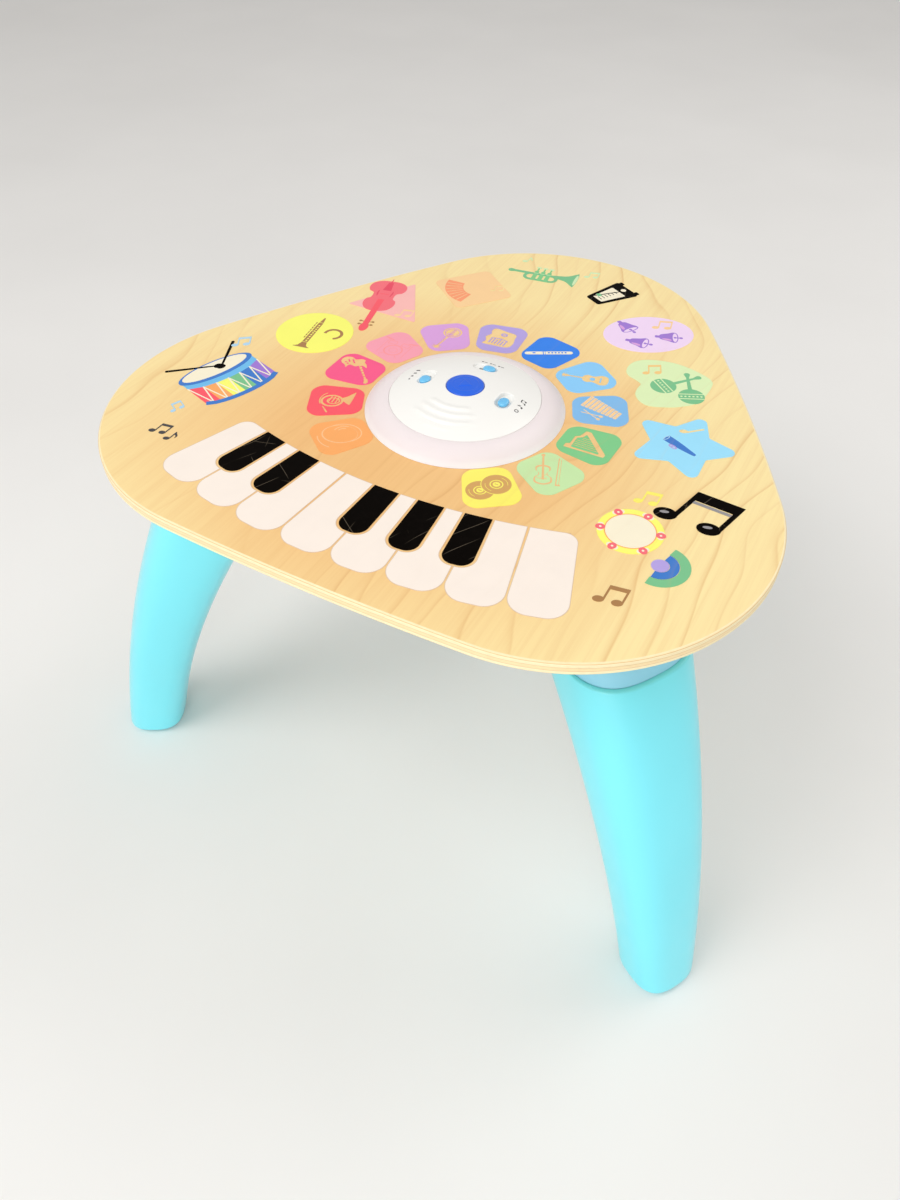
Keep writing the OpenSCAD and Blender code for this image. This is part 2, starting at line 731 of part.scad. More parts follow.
module base_housing() {
    color("white") on_table() difference() {
        union() {
            difference() {
                translate([0, 0, housing_bottom]) cylinder(r = housing_r, h = housing_depth, $fn = 144);
                translate([0, 0, housing_floor_top])
                    cylinder(r = housing_r - housing_wall, h = housing_depth, $fn = 144);
            }
            housing_columns(column_r);
            translate([-bay_l / 2 - bay_wall, -bay_y - bay_w / 2 - bay_wall, housing_bottom])
                cube([bay_l + 2 * bay_wall, bay_w + 2 * bay_wall, bay_roof + bay_wall - housing_bottom]);
            translate([0, door_screw_y, housing_bottom])
                cylinder(r = boss_r, h = bay_roof - housing_bottom - 2);
            for (a = speaker_screw_angles) speaker_screw_place(a)
                cylinder(r = 3, h = speaker_rim_t);
        }
        translate([-bay_l / 2, -bay_y - bay_w / 2, housing_bottom - cut])
            cube([bay_l, bay_w, bay_roof - housing_bottom + cut]);
        translate([0, 0, housing_bottom - cut]) door_shape(slide_gap, door_t + cut);
        translate([0, door_screw_y, housing_bottom - cut])
            cylinder(r = screw_r + screw_gap, h = 12 + cut, $fn = 24);
        for (a = column_angles) rotate(a) translate([column_reach, 0, 0]) {
            translate([0, 0, housing_bottom - cut])
                cylinder(r = screw_r + 0.3, h = post_z - housing_bottom + 2 * cut, $fn = 24);
            translate([0, 0, housing_bottom - cut]) cylinder(r = screw_seat_r, h = screw_seat + cut);
        }
        for (a = speaker_screw_angles) speaker_screw_place(a)
            translate([0, 0, -speaker_screw_bite - 0.2])
                cylinder(r = screw_r + screw_gap, h = speaker_screw_bite + speaker_rim_t + cut, $fn = 24);
        translate([0, speaker_y, housing_bottom - cut]) grille_holes(housing_floor + 2 * cut);
        contact_slots();
    }
}

module grille_holes(h) {
    for (i = [0 : 2], k = [0 : max(1, 6 * i) - 1])
        rotate(k * 360 / max(1, 6 * i)) translate([7 * i, 0, 0]) cylinder(r = 1.5, h = h, $fn = 20);
}

// The battery door's outline, wider by a gap, with a tongue for its screw
module door_shape(gap, h) {
    l = bay_l + 2 * door_lap + 2 * gap;
    w = bay_w + 2 * door_lap + 2 * gap;
    translate([-l / 2, -bay_y - w / 2, 0]) cube([l, w, h]);
    translate([0, door_screw_y, 0]) cylinder(r = boss_r + 2 + gap, h = h);
}

module battery_door() {
    grips = 5;
    grip_l = 24;
    grip_pitch = 1.5;
    grip_deep = 0.4;
    color("white") on_table() translate([0, 0, housing_bottom]) difference() {
        door_shape(0, door_t - 0.1);
        translate([0, door_screw_y, -cut]) cylinder(r = screw_r + 0.2, h = door_t + 2 * cut, $fn = 24);
        translate([0, door_screw_y, -cut]) cylinder(r = 3.1, h = 1 + cut);
        for (k = [0 : grips - 1])
            translate([-grip_l / 2, -bay_y + bay_w / 2 - 1 - k * grip_pitch, -cut])
                cube([grip_l, 0.8, cut + grip_deep]);
    }
}

module battery_door_screw() {
    color("silver") on_table() translate([0, door_screw_y, housing_bottom + 1])
        screw(screw_r, 9, 2.8, 0.9);
}

module console_screws() {
    color("silver") on_table() for (a = column_angles) rotate(a)
        translate([column_reach, 0, housing_bottom + screw_seat])
            screw(screw_r, post_z + 10 - housing_bottom - screw_seat, 3.1, 2.2);
}

// Runs its children at the screws that hold the speaker's rim down, on the housing's floor
module speaker_screw_place(a) {
    translate([0, speaker_y, housing_floor_top]) rotate(a)
        translate([speaker_r + speaker_ear, 0, 0]) children();
}

module speaker_basket() {
    color("dimgray") on_table() translate([0, speaker_y, housing_floor_top]) {
        rotate_extrude() polygon([
            [speaker_r - 3, 0],
            [speaker_r, 0],
            [speaker_r, speaker_rim_t],
            [speaker_r - 2, speaker_rim_t],
            [magnet_r + 2, speaker_depth],
            [0, speaker_depth],
            [0, speaker_depth - 1.2],
            [magnet_r + 1, speaker_depth - 1.2],
            [speaker_r - 3.6, speaker_rim_t - 0.4]]);
        translate([-17, -18, terminal_h / 2]) cube([7, 4, terminal_h / 2]);
    }
}

module speaker_magnet() {
    color("silver") on_table() translate([0, speaker_y, housing_floor_top + speaker_depth])
        cylinder(r = magnet_r, h = magnet_t);
}

module speaker_cone() {
    color("black") on_table() translate([0, speaker_y, housing_floor_top]) rotate_extrude() polygon([
        [speaker_r - 3.7, 0.4],
        [speaker_r - 3.7, 0.9],
        [speaker_r - 5, 1.5],
        [8, speaker_depth - 3],
        [0, speaker_depth - 3],
        [0, speaker_depth - 3.6],
        [7.6, speaker_depth - 3.6],
        [speaker_r - 5.4, 1]]);
}

module speaker_screws() {
    washer_t = 1;
    color("silver") on_table() for (a = speaker_screw_angles) speaker_screw_place(a)
        translate([0, 0, speaker_rim_t + washer_t]) {
            translate([0, 0, -washer_t]) cylinder(r = 5.2, h = washer_t);
            mirror([0, 0, 1]) screw(screw_r, washer_t + speaker_rim_t + speaker_screw_bite, 2.6, 1.6);
        }
}

module speaker_wires() {
    color("red") on_table() for (dx = [0, wire_pitch]) lead(
        [-15 + dx, speaker_y - 16, housing_floor_top + terminal_h],
        [for (p = speaker_lead) p + [dx, 0, 0]],
        [-14 + dx, 7, control_under]);
}

module battery_wires() {
    color("red") on_table() for (s = [-1, 1]) lead(
        [s * (bay_l / 2 - contact_t - wire_d / 2), -bay_y, bay_roof + bay_wall + 0.3],
        [for (p = battery_lead) [s * p[0], p[1], p[2]]],
        [s * 19, -12, control_under]);
}

module led_wires() {
    color("red") on_table() for (dy = [0, wire_pitch]) lead(
        [-41, -5 + dy, post_z + board_pcb_t],
        [for (p = led_lead) p + [0, dy, 0]],
        [-34, -5 + dy, control_under]);
}

// ---- Batteries ----

module batteries() {
    nub_l = 1.4;
    nub_r = 2.7;
    color("gold") on_table() for (i = [0 : cells - 1])
        translate([0, -bay_y + cell_dy(i), cell_z]) rotate(i % 2 == 0 ? 0 : 180) rotate([0, 90, 0])
            translate([0, 0, bay_l / 2 - contact_t - 0.2 - cell_l]) {
                cylinder(r = cell_r, h = cell_l - nub_l);
                cylinder(r = nub_r, h = cell_l);
            }
}

module battery_springs() {
    coil_l = bay_l - cell_l - 2 * contact_t - 0.4;
    turns = 4;
    growth = (spring_foot_r - spring_tip_r) / turns;
    strut = [spring_foot_r - spring_tip_r + spring_wire_r / 2, 2 * spring_wire_r, coil_l];
    color("silver") on_table() for (i = [0 : cells - 1])
        translate([0, -bay_y + cell_dy(i), cell_z]) rotate(i % 2 == 0 ? 180 : 0) rotate([0, 90, 0])
            translate([0, 0, bay_l / 2 - contact_t - coil_l]) {
                for (k = [0 : turns])
                    translate([0, 0, spring_wire_r + k * (coil_l - 2 * spring_wire_r) / turns])
                        rotate_extrude($fn = 36) translate([spring_tip_r + k * growth, 0])
                            circle(r = spring_wire_r, $fn = 16);
                for (a = [0, 180]) rotate(a) translate([spring_tip_r, -spring_wire_r, 0]) cube(strut);
            }
}

// Slots in the bay's roof for the contacts' tags
module contact_slots() {
    gap = 0.1;
    for (x = [bay_l / 2 - contact_t - gap, -bay_l / 2])
        translate([x, -bay_y - tag_w / 2 - gap, bay_roof - cut])
            cube([contact_t + gap, tag_w + 2 * gap, bay_wall + 2 * cut]);
}

module battery_contacts() {
    plate_h = 2 * cell_r - 2;
    plate_gap = 0.8;
    plate_top = cell_z + plate_h / 2;
    color("silver") on_table() for (x = [bay_l / 2 - contact_t, -bay_l / 2]) {
        translate([x, -bay_y - bay_w / 2 + plate_gap, cell_z - plate_h / 2])
            cube([contact_t, bay_w - 2 * plate_gap, plate_h]);
        translate([x, -bay_y - tag_w / 2, plate_top - cut])
            cube([contact_t, tag_w, bay_roof + bay_wall + tag_rise - plate_top + cut]);
    }
}

// ---- Legs ----

// A horizontal section of a leg at height h, moved in by an inset, about the table's axis
function leg_section(h, z, inset) = [for (i = [0 : leg_sides - 1])
    let (a = 360 * i / leg_sides)
    [
        leg_reach(h) + (leg_half_depth(h) - inset / cos(leg_lean(h))) * signed_power(cos(a), 2 / leg_power),
        (leg_half_width(h) - inset) * signed_power(sin(a), 2 / leg_power),
        z]];
function steps(from, to, n) = [for (i = [0 : n]) from + (to - from) * i / n];

module at_corner(k) {
    translate([0, axis_y, 0]) rotate(corner_angles[k]) children();
}

bulkhead_t = leg_wall;
pocket_h = spigot_h - 2;                   // floor of the pocket that takes the spigot

module leg(k) {
    body_low = foot_steps[len(foot_steps) - 1][0];
    pad_seat = leg_bottom_h + foot_pad_t - foot_pad_proud;
    outside = concat(
        [[pad_seat, pad_inset], [leg_bottom_h, pad_inset]],
        foot_steps,
        [for (h = steps(body_low, rim_h - rim_round, 16)) if (h > body_low) [h, 0]],
        [for (a = [30 : 30 : 90]) [rim_h - rim_round * (1 - sin(a)), rim_round * (1 - cos(a))]]);
    pocket = [for (h = steps(rim_h, pocket_h, 4)) [h, leg_wall]];
    void = [for (h = steps(pad_seat + leg_wall, pocket_h - bulkhead_t, 10)) [h, leg_wall]];
    color("turquoise") at_corner(k) difference() {
        loft([for (s = concat(outside, pocket)) leg_section(s[0], s[0], s[1])]);
        loft([for (s = void) leg_section(s[0], s[0], s[1] + (s[0] < foot_round * 2 ? 2 : 0))]);
    }
}
module leg_rear() { leg(0); }
module leg_left() { leg(1); }
module leg_right() { leg(2); }

module foot_pad(k) {
    gap = 0.2;
    color("slategray") at_corner(k)
        loft([for (z = [0, foot_pad_t]) leg_section(leg_bottom_h, z, pad_inset + gap)]);
}
module foot_pad_rear() { foot_pad(0); }
module foot_pad_left() { foot_pad(1); }
module foot_pad_right() { foot_pad(2); }

flange_half_l = 42;
socket_half_l = max(flange_half_l, leg_half_depth(board_under_h));
flange_half_w = leg_half_width(board_under_h) - rim_step + flange_ear;
screw_side = flange_half_w - 6;

module socket_screw_places() {
    for (a = corner_angles, dx = [-24, 24], s = [-1, 1])
        rotate(a) translate([leg_reach(board_under_h) + dx, s * screw_side, 0]) children();
}

module leg_socket(k) {
    grip = leg_wall + spigot_gap;
    rib_t = 2.5;
    flange_low = board_under_h - flange_t;
    skin = concat(
        [for (h = steps(spigot_h, rim_h, 4)) [h, grip]],
        [for (h = steps(rim_h, board_under_h, 5)) [h, rim_step]]);
    core = concat(
        [for (h = steps(spigot_h + socket_wall, rim_h + socket_wall, 4)) [h, grip + socket_wall]],
        [for (h = steps(rim_h + 2 * socket_wall, board_under_h + cut, 4)) [h, rim_step + socket_wall]]);
    color("lightskyblue") at_corner(k) difference() {
        union() {
            loft([for (s = skin) leg_section(s[0], s[0], s[1])]);
            translate([leg_reach(board_under_h) - flange_half_l, -flange_half_w, flange_low])
                cube([2 * flange_half_l, 2 * flange_half_w, flange_t]);
        }
        difference() {
            loft([for (s = core) leg_section(s[0], s[0], s[1])]);
            translate([0, -rib_t / 2, 0]) cube([foot_reach, rib_t, table_h]);
            translate([leg_reach(board_under_h) + 12, -rim_half_width - foot_reach / 4, 0])
                cube([rib_t, 2 * rim_half_width + foot_reach / 2, table_h]);
        }
        for (dx = [-24, 24], s = [-1, 1])
            translate([leg_reach(board_under_h) + dx, s * screw_side, flange_low - cut])
                cylinder(r = wood_screw_r + 0.3, h = flange_t + 2 * cut, $fn = 24);
    }
}
module leg_socket_rear() { leg_socket(0); }
module leg_socket_left() { leg_socket(1); }
module leg_socket_right() { leg_socket(2); }

module socket_screws() {
    color("silver") on_table() socket_screw_places()
        translate([0, 0, board_under - flange_t]) screw(wood_screw_r, flange_t + wood_screw_bite, 3.8, 2.2);
}

tabletop();
white_key_prints();
black_key_prints();
ring_pad_prints();
outer_pad_prints();
light_ring();
console_cap();
play_button();
play_switch_plunger();
play_switch();
volume_knob();
mode_knob();
sound_knob();
slide_switches();
control_board();
board_screws();
led_board();
ring_leds();
touch_film();
sensor_ribbon();
base_housing();
console_screws();
speaker_basket();
speaker_magnet();
speaker_cone();
speaker_screws();
speaker_wires();
batteries();
battery_springs();
battery_contacts();
battery_wires();
led_wires();
battery_door();
battery_door_screw();
leg_socket_rear();
leg_socket_left();
leg_socket_right();
socket_screws();
leg_rear();
leg_left();
leg_right();
foot_pad_rear();
foot_pad_left();
foot_pad_right();
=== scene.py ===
"""Looks of the musical activity table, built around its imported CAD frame.

Lengths of the shapes are millimetres about the console's axis, with z = 0 on the playing surface, and
a leg's heights are counted up from the floor. at() and at_floor() turn them into the frame's metres. The
looks, the floor and the lights are in metres. The pieces that stand for a CAD node are its outer skin:
hollows and stems that can't be seen from outside are in the CAD alone.
"""

import json
import math

import bpy
import numpy as np
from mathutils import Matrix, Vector
from mathutils.geometry import delaunay_2d_cdt


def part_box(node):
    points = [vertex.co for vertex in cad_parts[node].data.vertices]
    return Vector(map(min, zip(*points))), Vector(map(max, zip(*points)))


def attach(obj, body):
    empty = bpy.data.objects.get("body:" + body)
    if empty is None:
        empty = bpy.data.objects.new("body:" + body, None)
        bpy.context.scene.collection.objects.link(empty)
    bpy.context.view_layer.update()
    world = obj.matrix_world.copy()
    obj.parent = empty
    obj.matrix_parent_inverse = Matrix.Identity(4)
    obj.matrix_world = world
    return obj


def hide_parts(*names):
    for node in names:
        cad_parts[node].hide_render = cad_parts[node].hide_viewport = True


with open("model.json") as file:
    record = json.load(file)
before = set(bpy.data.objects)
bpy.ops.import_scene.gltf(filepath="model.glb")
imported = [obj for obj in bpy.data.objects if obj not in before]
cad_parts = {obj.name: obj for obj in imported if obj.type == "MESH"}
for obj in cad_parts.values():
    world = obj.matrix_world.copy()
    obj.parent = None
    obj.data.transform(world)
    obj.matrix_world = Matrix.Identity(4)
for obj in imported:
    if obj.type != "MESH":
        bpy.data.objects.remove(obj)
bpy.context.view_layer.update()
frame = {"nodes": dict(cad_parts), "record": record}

MM = 0.001

# ---- What the frame gives ----

board_low, board_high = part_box("tabletop")
ring_low, ring_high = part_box("light_ring")
axis_x = (ring_low.x + ring_high.x) / 2
axis_y = (ring_low.y + ring_high.y) / 2
top_z = board_high.z
board_t = (board_high.z - board_low.z) / MM
table_h = top_z / MM


def at(x, y, z=0.0):
    return (axis_x + x * MM, axis_y + y * MM, top_z + z * MM)


def at_floor(x, y, h):
    return (axis_x + x * MM, axis_y + y * MM, h * MM)


# ---- Sizes that repeat the CAD source's ----

corner_angles = {"rear": 90, "left": 210, "right": 330}
corner_reach = 250
side_reach = 196
corner_r = 136.7
edge_r = 1.5
hole_r = 60
ink_t = 0.2

fan_r = 400
keys_y = 103
fan_y = fan_r - keys_y
white_key_l = 72.5
black_key_l = 45
key_angle = 4.5
white_keys = 8
key_gap = 1.3
black_key_w = 17.6
white_key_round = 13
black_key_round = 8
black_key_border = 1.4
black_key_places = (-3, -2, 0, 1, 2)

pad_ring_r = 92
pad_ring_y = 3.5
ring_pads = 12
pad_angle = 25.9
pad_row_angle = 89.4

ring_outer_r = 69.6
cap_r = 52.6
seam_z = 9.3
crown_z = 18.5
ring_bulge_r = 26
ring_wall = 2.4
ledge_z = seam_z - 3.2
ledge_t = 1.8
ledge_in = 49.3
cap_wall = 2.2
button_r = 13
button_proud = 1.1
button_dome_r = 90
slider_reach = 30
slot_l = 18
slot_w = 10
recess_depth = 2.4
slider_angles = (180, 90, 0)
slider_rest = (-3, 3, -1.5)
knob_l = 9
knob_w = 7
knob_proud = 0.6

foot_reach = 287
foot_lean = math.radians(12.2)
leg_bend_r = 930
foot_half_depth = 24
foot_half_width = 25
rim_half_depth = 37
rim_half_width = 44.2
rim_h = table_h - 64
leg_wall = 3
leg_bottom_h = 0.8
foot_round = 5
rim_round = 1.2
leg_power = 2.8
swell = 1.4
spigot_h = rim_h - 36
socket_grip = 3.4
socket_inset = 2.5
flange_t = 3.5
pad_inset = 6.2
pad_t = 2


# ---- Mesh tools ----


def polar(r, degrees):
    return (r * math.cos(math.radians(degrees)), r * math.sin(math.radians(degrees)))


def circle(r, steps):
    return [polar(r, 360 * i / steps) for i in range(steps)]


def turned(point, degrees):
    c, s = polar(1, degrees)
    return (point[0] * c - point[1] * s, point[0] * s + point[1] * c)


def shifted(point, offset):
    return (point[0] + offset[0], point[1] + offset[1])


def placed(loop, x, y, turn=0, scale=1.0):
    """A loop scaled and turned about its origin and then moved."""
    return [shifted((x, y), turned((px * scale, py * scale), turn)) for px, py in loop]


def spread(low, high, count):
    return [low + (high - low) * i / count for i in range(count + 1)]


def quarter(r, angles):
    """(inset, drop) of a quarter round at angles from 0, all inset, to 90, all drop."""
    return [(r * (1 - math.sin(math.radians(a))), r * (1 - math.cos(math.radians(a)))) for a in angles]


def build(name, points, faces, materials, body, replaces=(), slot=None, face_materials=None, crease=35):
    """A mesh piece with smooth faces and sharp edges above the crease angle."""
    mesh = bpy.data.meshes.new(name)
    mesh.from_pydata([Vector(p) for p in points], [], faces)
    for material in materials:
        mesh.materials.append(material)
    if face_materials is not None:
        mesh.polygons.foreach_set("material_index", face_materials)
    mesh.polygons.foreach_set("use_smooth", [True] * len(mesh.polygons))
    mesh.set_sharp_from_angle(angle=math.radians(crease))
    mesh.validate()
    piece = bpy.data.objects.new(name, mesh)
    bpy.context.scene.collection.objects.link(piece)
    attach(piece, body)
    if replaces:
        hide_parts(*replaces)
    return piece


def skin(rings, closed=False):
    """Points and faces of a skin over rings of as many points each, with end caps unless it is closed."""
    count = len(rings[0])
    points = [p for ring in rings for p in ring]
    faces = []
    spans = len(rings) if closed else len(rings) - 1
    for j in range(spans):
        low = j * count
        high = ((j + 1) % len(rings)) * count
        for i in range(count):
            k = (i + 1) % count
            faces.append((low + i, low + k, high + k, high + i))
    if not closed:
        faces.append(tuple(range(count - 1, -1, -1)))
        last = (len(rings) - 1) * count
        faces.append(tuple(range(last, last + count)))
    return points, faces


def lathe(profile, steps=240):
    """Points and faces of a closed profile of (radius, z), turned anticlockwise about the console's axis."""
    return skin([[at(*p, z) for p in circle(r, steps)] for r, z in profile], closed=True)


def arc(centre, r, from_degrees, to_degrees, steps):
    """Points along an arc, both ends included."""
    return [shifted(centre, polar(r, a)) for a in spread(from_degrees, to_degrees, steps)]


# ---- Looks ----


class Look:
    """A Principled material, with short names for the nodes that its sockets are fed from."""

    def __init__(self, name, **uniform):
        self.material = bpy.data.materials.new(name)
        self.material.use_nodes = True
        self.tree = self.material.node_tree
        self.shader = self.tree.nodes["Principled BSDF"]
        for key, value in uniform.items():
            self.shader.inputs[key.replace("_", " ")].default_value = value

    def feed(self, node, name, value):
        if isinstance(value, bpy.types.NodeSocket):
            self.tree.links.new(value, node.inputs[name])
        else:
            node.inputs[name].default_value = value

    def add(self, kind, settings=None, **inputs):
        """A node; its inputs are given by name, or as in0, in1 and so on by their place."""
        node = self.tree.nodes.new("ShaderNode" + kind)
        for key, value in (settings or {}).items():
            setattr(node, key, value)
        for key, value in inputs.items():
            place = int(key[2:]) if key[:2] == "in" and key[2:].isdigit() else key.replace("_", " ")
            self.feed(node, place, value)
        return node

    def place(self):
        return self.add("TexCoord").outputs["Object"]

    def axis(self, name):
        return self.add("SeparateXYZ", Vector=self.place()).outputs[name]

    def mapped(self, source, **mapping):
        return self.add("Mapping", Vector=source, **mapping).outputs["Vector"]

    def noise(self, scale, detail=2.0, roughness=0.5, distortion=0.0, source=None):
        """Noise with so many features per metre along x, y and z."""
        if isinstance(scale, float):
            scale = (scale, scale, scale)
        vector = self.mapped(source or self.place(), Scale=scale)
        return self.add("TexNoise", Vector=vector, Scale=1.0, Detail=detail, Roughness=roughness,
                        Distortion=distortion).outputs["Fac"]

    def remap(self, value, low, high, to_low=0.0, to_high=1.0):
        return self.add("MapRange", Value=value, in1=low, in2=high, in3=to_low, in4=to_high).outputs["Result"]

    def mix(self, factor, first, second):
        node = self.add("Mix", {"data_type": "RGBA"}, in0=factor, in6=first, in7=second)
        return node.outputs[2]

    def maths(self, operation, first, second=0.0):
        return self.add("Math", {"operation": operation}, in0=first, in1=second).outputs[0]

    def plus(self, first, second):
        return self.maths("ADD", first, second)

    def times(self, first, second):
        return self.maths("MULTIPLY", first, second)

    def bump(self, height, strength, distance=0.0002):
        node = self.add("Bump", Height=height, Strength=strength, Distance=distance)
        self.feed(self.shader, "Normal", node.outputs["Normal"])

    def colour(self, value):
        self.feed(self.shader, "Base Color", value)

    def gloss(self, value, low, high, to_low, to_high):
        """Roughness that follows a value."""
        self.feed(self.shader, "Roughness", self.remap(value, low, high, to_low, to_high))


def linear(*display):
    """A linear colour from 0-255 display values."""
    shares = [c / 255 for c in display]
    return (*(c / 12.92 if c <= 0.04045 else ((c + 0.055) / 1.055) ** 2.4 for c in shares), 1.0)


def shade(colour, factor):
    return (colour[0] * factor, colour[1] * factor, colour[2] * factor, 1.0)


def grain_lines(look):
    """Thin growth lines of rotary-cut birch, running along Y, from 0 on bare wood to 1 in a line."""
    lines_per_m = 44.0
    wander_m = 0.24
    line_end = 0.95
    waves = look.noise((6.0, 3.4, 1.0), 2.0, 0.4, 0.3)
    count = look.plus(look.times(waves, wander_m * lines_per_m), look.times(look.axis("X"), lines_per_m))
    saw = look.maths("FRACT", count)
    own = look.add("TexWhiteNoise", {"noise_dimensions": "1D"}, W=look.maths("FLOOR", count)).outputs["Value"]
    late = look.maths("POWER", look.remap(saw, 0.55, line_end), 4.0)
    drop = look.remap(saw, line_end, 1.0, 1.0, 0.0)
    fade = look.remap(look.noise((9.0, 5.0, 1.0)), 0.38, 0.62, 0.1, 1.0)
    strength = look.times(fade, look.remap(own, 0.0, 1.0, 0.15, 1.0))
    return look.times(look.times(late, drop), strength)


def face_fibre(look):
    return look.noise((620.0, 14.0, 40.0), 3.0, 0.6)


def wood_material():
    """Birch face: honey in front of the console, paler towards the rim, with growth lines and fibres."""
    look = Look("birch_veneer", Coat_Weight=0.12, Coat_Roughness=0.22)
    light, dark, line = linear(253, 230, 166), linear(242, 191, 125), linear(220, 160, 92)
    away = look.add("VectorMath", {"operation": "DISTANCE"}, in0=look.place(), in1=at(0, -60))
    reach = look.remap(away.outputs["Value"], 0.085, 0.215)
    lean = look.plus(reach, look.times(look.axis("X"), 0.1))
    pale = look.plus(lean, look.remap(look.noise((6.5, 3.0, 1.0)), 0.3, 0.7, -0.14, 0.2))
    streak = look.remap(look.noise((170.0, 5.0, 10.0)), 0.45, 0.75, 0.0, 0.12)
    fibre = face_fibre(look)
    base = look.mix(look.remap(pale, 0.0, 1.0), dark, light)
    lined = look.mix(look.times(grain_lines(look), 0.55), look.mix(streak, base, line), line)
    look.colour(look.mix(look.remap(fibre, 0.42, 0.8, 0.0, 0.14), lined, line))
    look.gloss(fibre, 0.2, 0.8, 0.36, 0.48)
    look.bump(fibre, 0.18)
    return look.material


def ply_material():
    """The board's edge: pale plies with thin glue lines, laid by height through the board."""
    look = Look("birch_plies", Coat_Weight=0.08, Coat_Roughness=0.3)
    shift = look.remap(look.noise((30.0, 30.0, 1.0)), 0.3, 0.7, -0.00008, 0.00008)
    through = look.remap(look.plus(look.axis("Z"), shift), board_low.z, board_high.z)
    ramp = look.add("ValToRGB", Fac=through)
    pale, end_grain, glue = linear(254, 238, 194), linear(250, 226, 176), linear(222, 180, 122)
    stops = ramp.color_ramp.elements
    stops[0].color, stops[1].color = end_grain, pale
    half_line = 0.008
    soft = 0.014
    plies_up = (end_grain, pale) * 3
    for k, depth in enumerate(ply_lines):
        middle = 1 - depth / board_t
        for offset, colour in ((-half_line - soft, plies_up[k + 1]), (-half_line, glue), (half_line, glue),
                               (half_line + soft, plies_up[k])):
            stops.new(middle + offset).color = colour
    fibre = look.noise((260.0, 260.0, 1500.0), 3.0, 0.6)
    look.colour(look.mix(look.remap(fibre, 0.4, 0.85, 0.0, 0.25), ramp.outputs["Color"], glue))
    look.gloss(fibre, 0.2, 0.8, 0.42, 0.58)
    look.bump(fibre, 0.25)
    return look.material


def ink_material(name, colour, veil=0.06):
    """Screen-printed ink on the veneer; the grain shows through a little."""
    look = Look("ink_" + name, Coat_Weight=0.08, Coat_Roughness=0.2)
    fibre = face_fibre(look)
    mottled = look.mix(look.remap(look.noise(60.0), 0.3, 0.7), colour, shade(colour, 0.975))
    lined = look.mix(look.times(grain_lines(look), veil * 2), mottled, linear(222, 168, 104))
    look.colour(look.mix(look.remap(fibre, 0.45, 0.8, 0.0, veil), lined, shade(colour, 0.86)))
    look.gloss(fibre, 0.2, 0.8, 0.29, 0.4)
    return look.material


def scratches(look, turn, spacing, width, share):
    """Thin, nearly straight scratches at an angle, each broken off where a noise falls below a share."""
    spun = look.mapped(look.place(), Rotation=(0.0, 0.0, math.radians(turn)))
    across = look.add("SeparateXYZ", Vector=spun).outputs["X"]
    wobble = look.times(look.noise(16.0, 1.0), 0.02)
    count = look.maths("DIVIDE", look.plus(across, wobble), spacing)
    off = look.maths("ABSOLUTE", look.maths("SUBTRACT", look.maths("FRACT", count), 0.5))
    line = look.remap(off, 0.0, width / spacing, 1.0, 0.0)
    cover = look.noise((0.5 / spacing, 28.0, 1.0), 1.0, source=spun)
    return look.times(line, look.remap(cover, share, share + 0.06))


def black_ink_material():
    """Black key ink with fine pale scratches in several directions."""
    look = Look("ink_black_keys", Specular_IOR_Level=0.02)
    marks = scratches(look, 25.0, 0.011, 0.00022, 0.54)
    for setting in ((-58.0, 0.014, 0.0002, 0.55), (78.0, 0.017, 0.00016, 0.56), (-12.0, 0.021, 0.0002, 0.55)):
        marks = look.maths("MAXIMUM", marks, scratches(look, *setting))
    dust = look.noise(300.0, 3.0, 0.7)
    faded = look.mix(look.remap(dust, 0.5, 0.8, 0.0, 0.3), linear(8, 5, 3), linear(26, 20, 16))
    look.colour(look.mix(look.times(marks, 0.33), faded, linear(190, 172, 146)))
    look.gloss(dust, 0.3, 0.8, 0.34, 0.5)
    return look.material


def plastic_material(name, colour, roughness, depth=0.0, coat=0.0, texture=0.0):
    """Moulded plastic: faint flow tint, fine surface texture, gloss that varies with handling."""
    look = Look(name, Coat_Weight=coat, Coat_Roughness=0.12, IOR=1.49)
    if depth:
        soft = {"Weight": depth, "Radius": (1.0, 0.9, 0.8), "Scale": 0.004}
        for key, value in soft.items():
            look.shader.inputs["Subsurface " + key].default_value = value
    flow = look.noise((16.0, 16.0, 9.0))
    look.colour(look.mix(look.remap(flow, 0.3, 0.7), colour, shade(colour, 0.97)))
    look.gloss(look.noise(45.0, 2.0, 0.6), 0.3, 0.7, roughness - 0.05, roughness + 0.07)
    if texture:
        look.bump(look.noise(900.0), texture)
    return look.material


def metal_material(name, colour, roughness, stretch=(60.0, 60.0, 900.0)):
    look = Look(name, Metallic=1.0)
    lines = look.noise(stretch, 4.0, 0.6)
    look.colour(look.mix(look.remap(lines, 0.3, 0.7), colour, shade(colour, 0.8)))
    look.gloss(lines, 0.3, 0.7, roughness - 0.06, roughness + 0.1)
    look.bump(lines, 0.1, 0.0001)
    return look.material


def rubber_material(name, colour):
    look = Look(name, IOR=1.45)
    grit = look.noise(1100.0, 4.0, 0.7)
    look.colour(look.mix(look.remap(look.noise(35.0, 3.0), 0.4, 0.75, 0.0, 0.6), colour, shade(colour, 1.5)))
    look.gloss(grit, 0.2, 0.8, 0.62, 0.85)
    look.bump(grit, 0.3)
    return look.material


